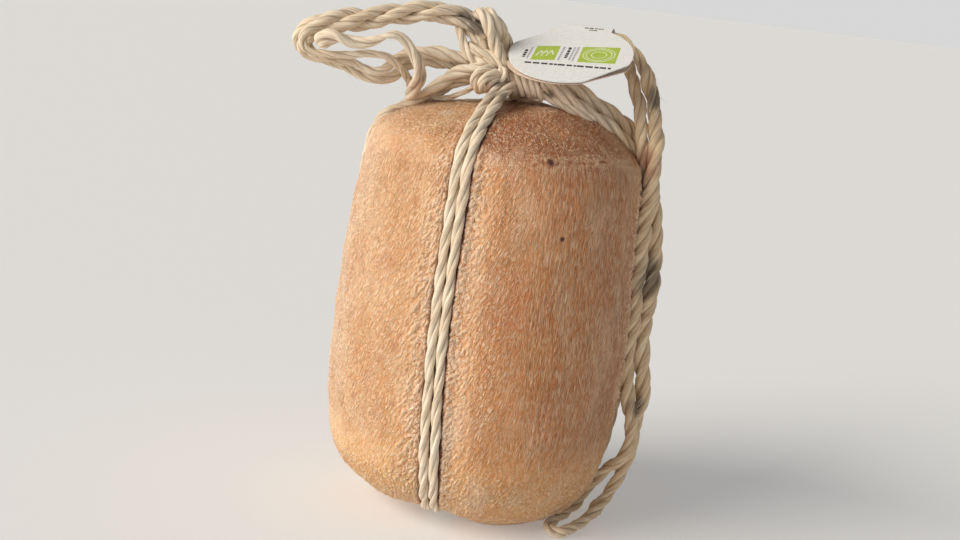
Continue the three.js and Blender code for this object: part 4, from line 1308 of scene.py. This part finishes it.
print("card is", CARD, "mm thick and the fold holds a twine of", SLACK, "mm")

# %% [markdown]
# Tag card is uncoated white board with a faint warm edge: rough, IOR near 1.5, and paper fibres
# that show only as the slightest mottling. Ink is a dry film on it, a touch smoother.

# %% Card and inks
MOTTLE = 1.4


def printed_board(name, colour, shade, roughness):
    material, tree, surface = new_finish(name, Roughness=roughness, IOR=1.5)
    place = add_node(tree, "ShaderNodeTexCoord").outputs["Object"]
    noise = {"Scale": 1 / (MOTTLE * MM), "Detail": 3}
    mottle = add_node(tree, "ShaderNodeTexNoise", noise, Vector=place).outputs[0]
    tint = painted(tree, colour, [(mottle, 0.4, 0.7, 1, shade)])
    tree.links.new(tint, surface.inputs["Base Color"])
    bump = add_node(tree, "ShaderNodeBump", {"Strength": 0.12, "Distance": 0.1 * MM}, Height=mottle)
    tree.links.new(bump.outputs[0], surface.inputs["Normal"])
    return material


board = printed_board("white_board", "#EDEDEA", "#E4E4E0", 0.7)
raw_board = printed_board("raw_board_edge", "#E2CDBB", "#D3B9A4", 0.8)
green_ink = printed_board("green_ink", "#B2C850", "#A8BE48", 0.55)
pale_ink = printed_board("pale_ink", "#E6EDC6", "#DCE4B8", 0.6)
dark_ink = printed_board("dark_ink", "#3A3B40", "#46474C", 0.6)
grey_ink = printed_board("grey_ink", "#A9AAB2", "#B5B6BD", 0.6)
print("six card and ink finishes")

# %% [markdown]
# The print is a set of flat shapes that stand on the card by the thickness of their ink. The signs
# on the green fields stand one film higher, so that no two films share a surface. A line of words
# is a row of bars whose lengths come from a seeded draw.

# %% Print on the tag
GREEN_FIELDS = [
    [(-16.2, 3.6), (-6.1, 6.0), (-5.4, -8.1), (-15.8, -10.2)],
    [(3.8, 7.4), (20.2, 10.4), (21.2, -5.6), (4.7, -7.6)],
]
GREEN, PALE, DARK, GREY = 2, 3, 4, 5
ARROWS_AT = (0.28, 0.5, 0.72)
ARROW_STROKE = 0.7
RING_SIZES = (0.42, 0.34, 0.2)
RING_STROKES = 24
RING_STROKE = 0.5
BAR_SHARE = 0.8
# Start and end of a line of bars, its width and how many bars.
DARK_LINES = [
    ((-17.5, -13.0), (20.8, -10.4), 1.5, 13), ((-0.3, 26.6), (8.6, 27.0), 0.9, 5),
    ((2.2, 24.8), (6.2, 25.0), 0.8, 3),
]
# Where a column of bars stands, its top and bottom, its width, how many bars, and its ink.
COLUMNS = [
    (-19.8, -0.8, -8.6, 1.3, 4, DARK), (-17.9, 2.0, -9.4, 0.9, 7, GREY),
    (-4.1, 5.6, -8.0, 1.0, 8, GREY), (-1.5, 5.6, -5.4, 1.3, 5, DARK),
    (0.5, 6.2, -7.0, 0.9, 9, GREY), (2.1, 6.8, -7.4, 0.9, 8, GREY),
]
COLUMN_LEAN = 0.3


def quad(corners, level=INK):
    shape = list(corners)
    signed = sum(x0 * y1 - x1 * y0 for (x0, y0), (x1, y1) in zip(shape, shape[1:] + shape[:1]))
    return extruded(shape if signed > 0 else shape[::-1], CARD, CARD + level)


def within(field, u, v):
    """A point of a printed field, u across and v down, both 0 to 1."""
    (ax, ay), (bx, by), (cx, cy), (dx, dy) = field
    top = (ax + (bx - ax) * u, ay + (by - ay) * u)
    low = (dx + (cx - dx) * u, dy + (cy - dy) * u)
    return top[0] + (low[0] - top[0]) * v, top[1] + (low[1] - top[1]) * v


def stroke(start, end, width, level=INK):
    (x0, y0), (x1, y1) = start, end
    length = math.hypot(x1 - x0, y1 - y0)
    nx, ny = -(y1 - y0) / length * width / 2, (x1 - x0) / length * width / 2
    return quad([(x0 + nx, y0 + ny), (x1 + nx, y1 + ny), (x1 - nx, y1 - ny), (x0 - nx, y0 - ny)], level)


def text_bars(start, end, width, words):
    """A row of bars and gaps that stands for a line of print."""
    dice = np.random.default_rng(words)
    lengths = dice.uniform(0.5, 1.4, words)
    lengths /= lengths.sum()
    bars, at = [], 0
    for length in lengths:
        a, b = at, at + length * BAR_SHARE
        ends = [(start[0] + (end[0] - start[0]) * s, start[1] + (end[1] - start[1]) * s) for s in (a, b)]
        bars.append(stroke(*ends, width))
        at += length
    return bars


def print_shapes():
    shapes = [(quad(field), GREEN) for field in GREEN_FIELDS]
    left, right = GREEN_FIELDS
    strokes = []
    for at in ARROWS_AT:
        low, middle, high = within(left, at - 0.14, 0.7), within(left, at, 0.3), within(left, at + 0.12, 0.62)
        strokes += [(low, middle, ARROW_STROKE), (middle, high, ARROW_STROKE)]
    turns = np.linspace(0, 2 * np.pi, RING_STROKES, endpoint=False)
    for size in RING_SIZES:
        ring = [within(right, 0.5 + size * math.cos(a), 0.5 + size * math.sin(a)) for a in turns]
        strokes += [(a, b, RING_STROKE) for a, b in zip(ring, ring[1:] + ring[:1])]
    shapes += [(stroke(a, b, width, 2 * INK), PALE) for a, b, width in strokes]
    for line in DARK_LINES:
        shapes += [(bar, DARK) for bar in text_bars(*line)]
    for x, top, bottom, width, words, ink in COLUMNS:
        shapes += [(bar, ink) for bar in text_bars((x, top), (x + COLUMN_LEAN, bottom), width, words)]
    return shapes


def tag_shapes():
    upper = extruded(card_outline(), 0, CARD)
    return [(upper, 0), (lower_disc(), 1), (fold_strip(), 0)] + print_shapes()


tag = merged("folded_tag", tag_shapes(), [board, raw_board, green_ink, pale_ink, dark_ink, grey_ink])
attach(tag, "root")
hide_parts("tag")
print("tag has", len(tag.data.polygons), "faces")

# %% [markdown]
# Plant twine is never clean. Loose fibres stand off it, a few millimetres long and as thin as hair.
# Each is a tiny tube that starts in a twine, runs along it for a moment and then lifts away. A
# fibre that would come near the table is left out.

# %% Stray fibres
FIBRE_THICKNESS = 0.12
FIBRE_CLEARANCE = 2 * MM
FIBRE_COUNT = 620


def one_fibre(line, tangent, dice):
    start = dice.integers(2, len(line) - 2)
    away = np.cross(tangent[start], dice.normal(size=3))
    away /= np.linalg.norm(away)
    forward = tangent[start] * dice.choice([-1, 1])
    length = dice.uniform(2.5, 8) * MM
    reach = np.linspace(0, 1, 6)[:, None]
    lift = away * (2.1 * MM + length * 0.45 * reach**1.6)
    curl = np.cross(away, forward) * dice.normal(0, 0.18) * length * reach**2
    return line[start] + forward * length * reach * 0.85 + lift + curl


def thin_tube(line, thickness, columns=3):
    tangent, side, up = carried_frames(line)
    radius = thickness * MM / 2 * np.linspace(1, 0.35, len(line))[:, None, None]
    turn = np.linspace(0, 2 * np.pi, columns, endpoint=False)
    ring = np.cos(turn)[None, :, None] * side[:, None, :] + np.sin(turn)[None, :, None] * up[:, None, :]
    points = (line[:, None, :] + radius * ring).reshape(-1, 3)
    rows = len(line)
    faces = grid_faces(rows, columns, 0) + [tuple(range(columns))[::-1]]
    faces.append(tuple((rows - 1) * columns + c for c in range(columns)))
    lay = np.zeros((len(points), 3))
    lay[:, 2] = np.repeat(run_length(line), columns)
    return {"points": points, "faces": faces, "lay": lay, "groove": np.zeros(len(points))}


def stray_fibres():
    dice = np.random.default_rng(23)
    routes = [route(points) for points in STRAND_ROUTES + [TAIL_ROUTE, SLACK_ROUTE] + NECK_ROUTES]
    lines = [evenly(line, 2 * MM) for line in routes + twine_lines]
    shares = np.array([len(line) for line in lines], float)
    parts = []
    for index in dice.choice(len(lines), FIBRE_COUNT, p=shares / shares.sum()):
        line = lines[index]
        fibre = one_fibre(line, carried_frames(line)[0], dice)
        if fibre[:, 2].min() > FIBRE_CLEARANCE:
            parts.append(thin_tube(fibre, FIBRE_THICKNESS))
    return parts


fibres = piece_from("stray_fibres", stray_fibres(), twine_finish)
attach(fibres, "root")
print("stray fibres have", len(fibres.data.polygons), "faces")

# %% [markdown]
# The setting is a studio table: a wide pale floor and one large soft window on the left. The
# window is modelled as a wide sun, since its light falls evenly from far away. The room gives the
# rest: a dim ceiling and brighter walls, so the side of the cheese stays open and the dome is dusky.

# %% Floor and light
KEY_AZIMUTH = -66
KEY_ELEVATION = 28
KEY_ANGLE = 45
KEY_STRENGTH = 3.0
HORIZON = 0.68
WALLS = (0.03, 0.12, 0.42)
CEILING = (0.15, 0.7, 0.2)
FLOOR_GLOW = 0.2
FLOOR_REACH = 60


def pale_floor():
    material, tree, surface = new_finish(
        "pale_floor", Roughness=0.9, IOR=1.45, Base_Color=linear("#E0E0DF"),
        Emission_Color=linear("#FFFFFF"), Emission_Strength=FLOOR_GLOW,
    )
    mesh = bpy.data.meshes.new("floor")
    corners = [(x * FLOOR_REACH, y * FLOOR_REACH, 0) for x, y in ((-1, -1), (1, -1), (1, 1), (-1, 1))]
    mesh.from_pydata(corners, [], [(0, 1, 2, 3)])
    mesh.materials.append(material)
    floor = placed("floor", mesh)


def window_light():
    data = bpy.data.lights.new("window", "SUN")
    data.energy = KEY_STRENGTH
    data.angle = math.radians(KEY_ANGLE)
    data.color = linear("#FFF8EE")[:3]
    turn, rise = math.radians(KEY_AZIMUTH), math.radians(KEY_ELEVATION)
    level = math.cos(rise)
    towards = Vector((math.sin(turn) * level, -math.cos(turn) * level, math.sin(rise)))
    placed("window", data).rotation_euler = towards.to_track_quat("Z", "Y").to_euler()


def room():
    """An even room: a dim ceiling, and brighter walls near the horizon."""
    world = bpy.data.worlds.new("room")
    world.use_nodes = True
    tree = world.node_tree
    way = add_node(tree, "ShaderNodeTexCoord").outputs["Generated"]
    up = add_node(tree, "ShaderNodeSeparateXYZ", _0=way).outputs["Z"]
    brightness = None
    for start, full, level in (WALLS, CEILING):
        fade = {"From Min": start, "From Max": full}
        share = add_node(tree, "ShaderNodeMapRange", fade, Value=up).outputs[0]
        links = {"_0": share} if brightness is None else {"_0": share, "_2": brightness}
        brightness = add_node(tree, "ShaderNodeMix", {2: HORIZON, 3: level}, **links).outputs[0]
    tree.nodes["Background"].inputs["Color"].default_value = linear("#FFFFFF")
    tree.links.new(brightness, tree.nodes["Background"].inputs["Strength"])
    bpy.context.scene.world = world


pale_floor()
window_light()
room()
bpy.context.scene.view_settings.view_transform = "Standard"
print("one window and an even room")

# %% [markdown]
# Last, the dressed cheese stands complete in its setting.

# %% End
print("the dressed cheese is complete")
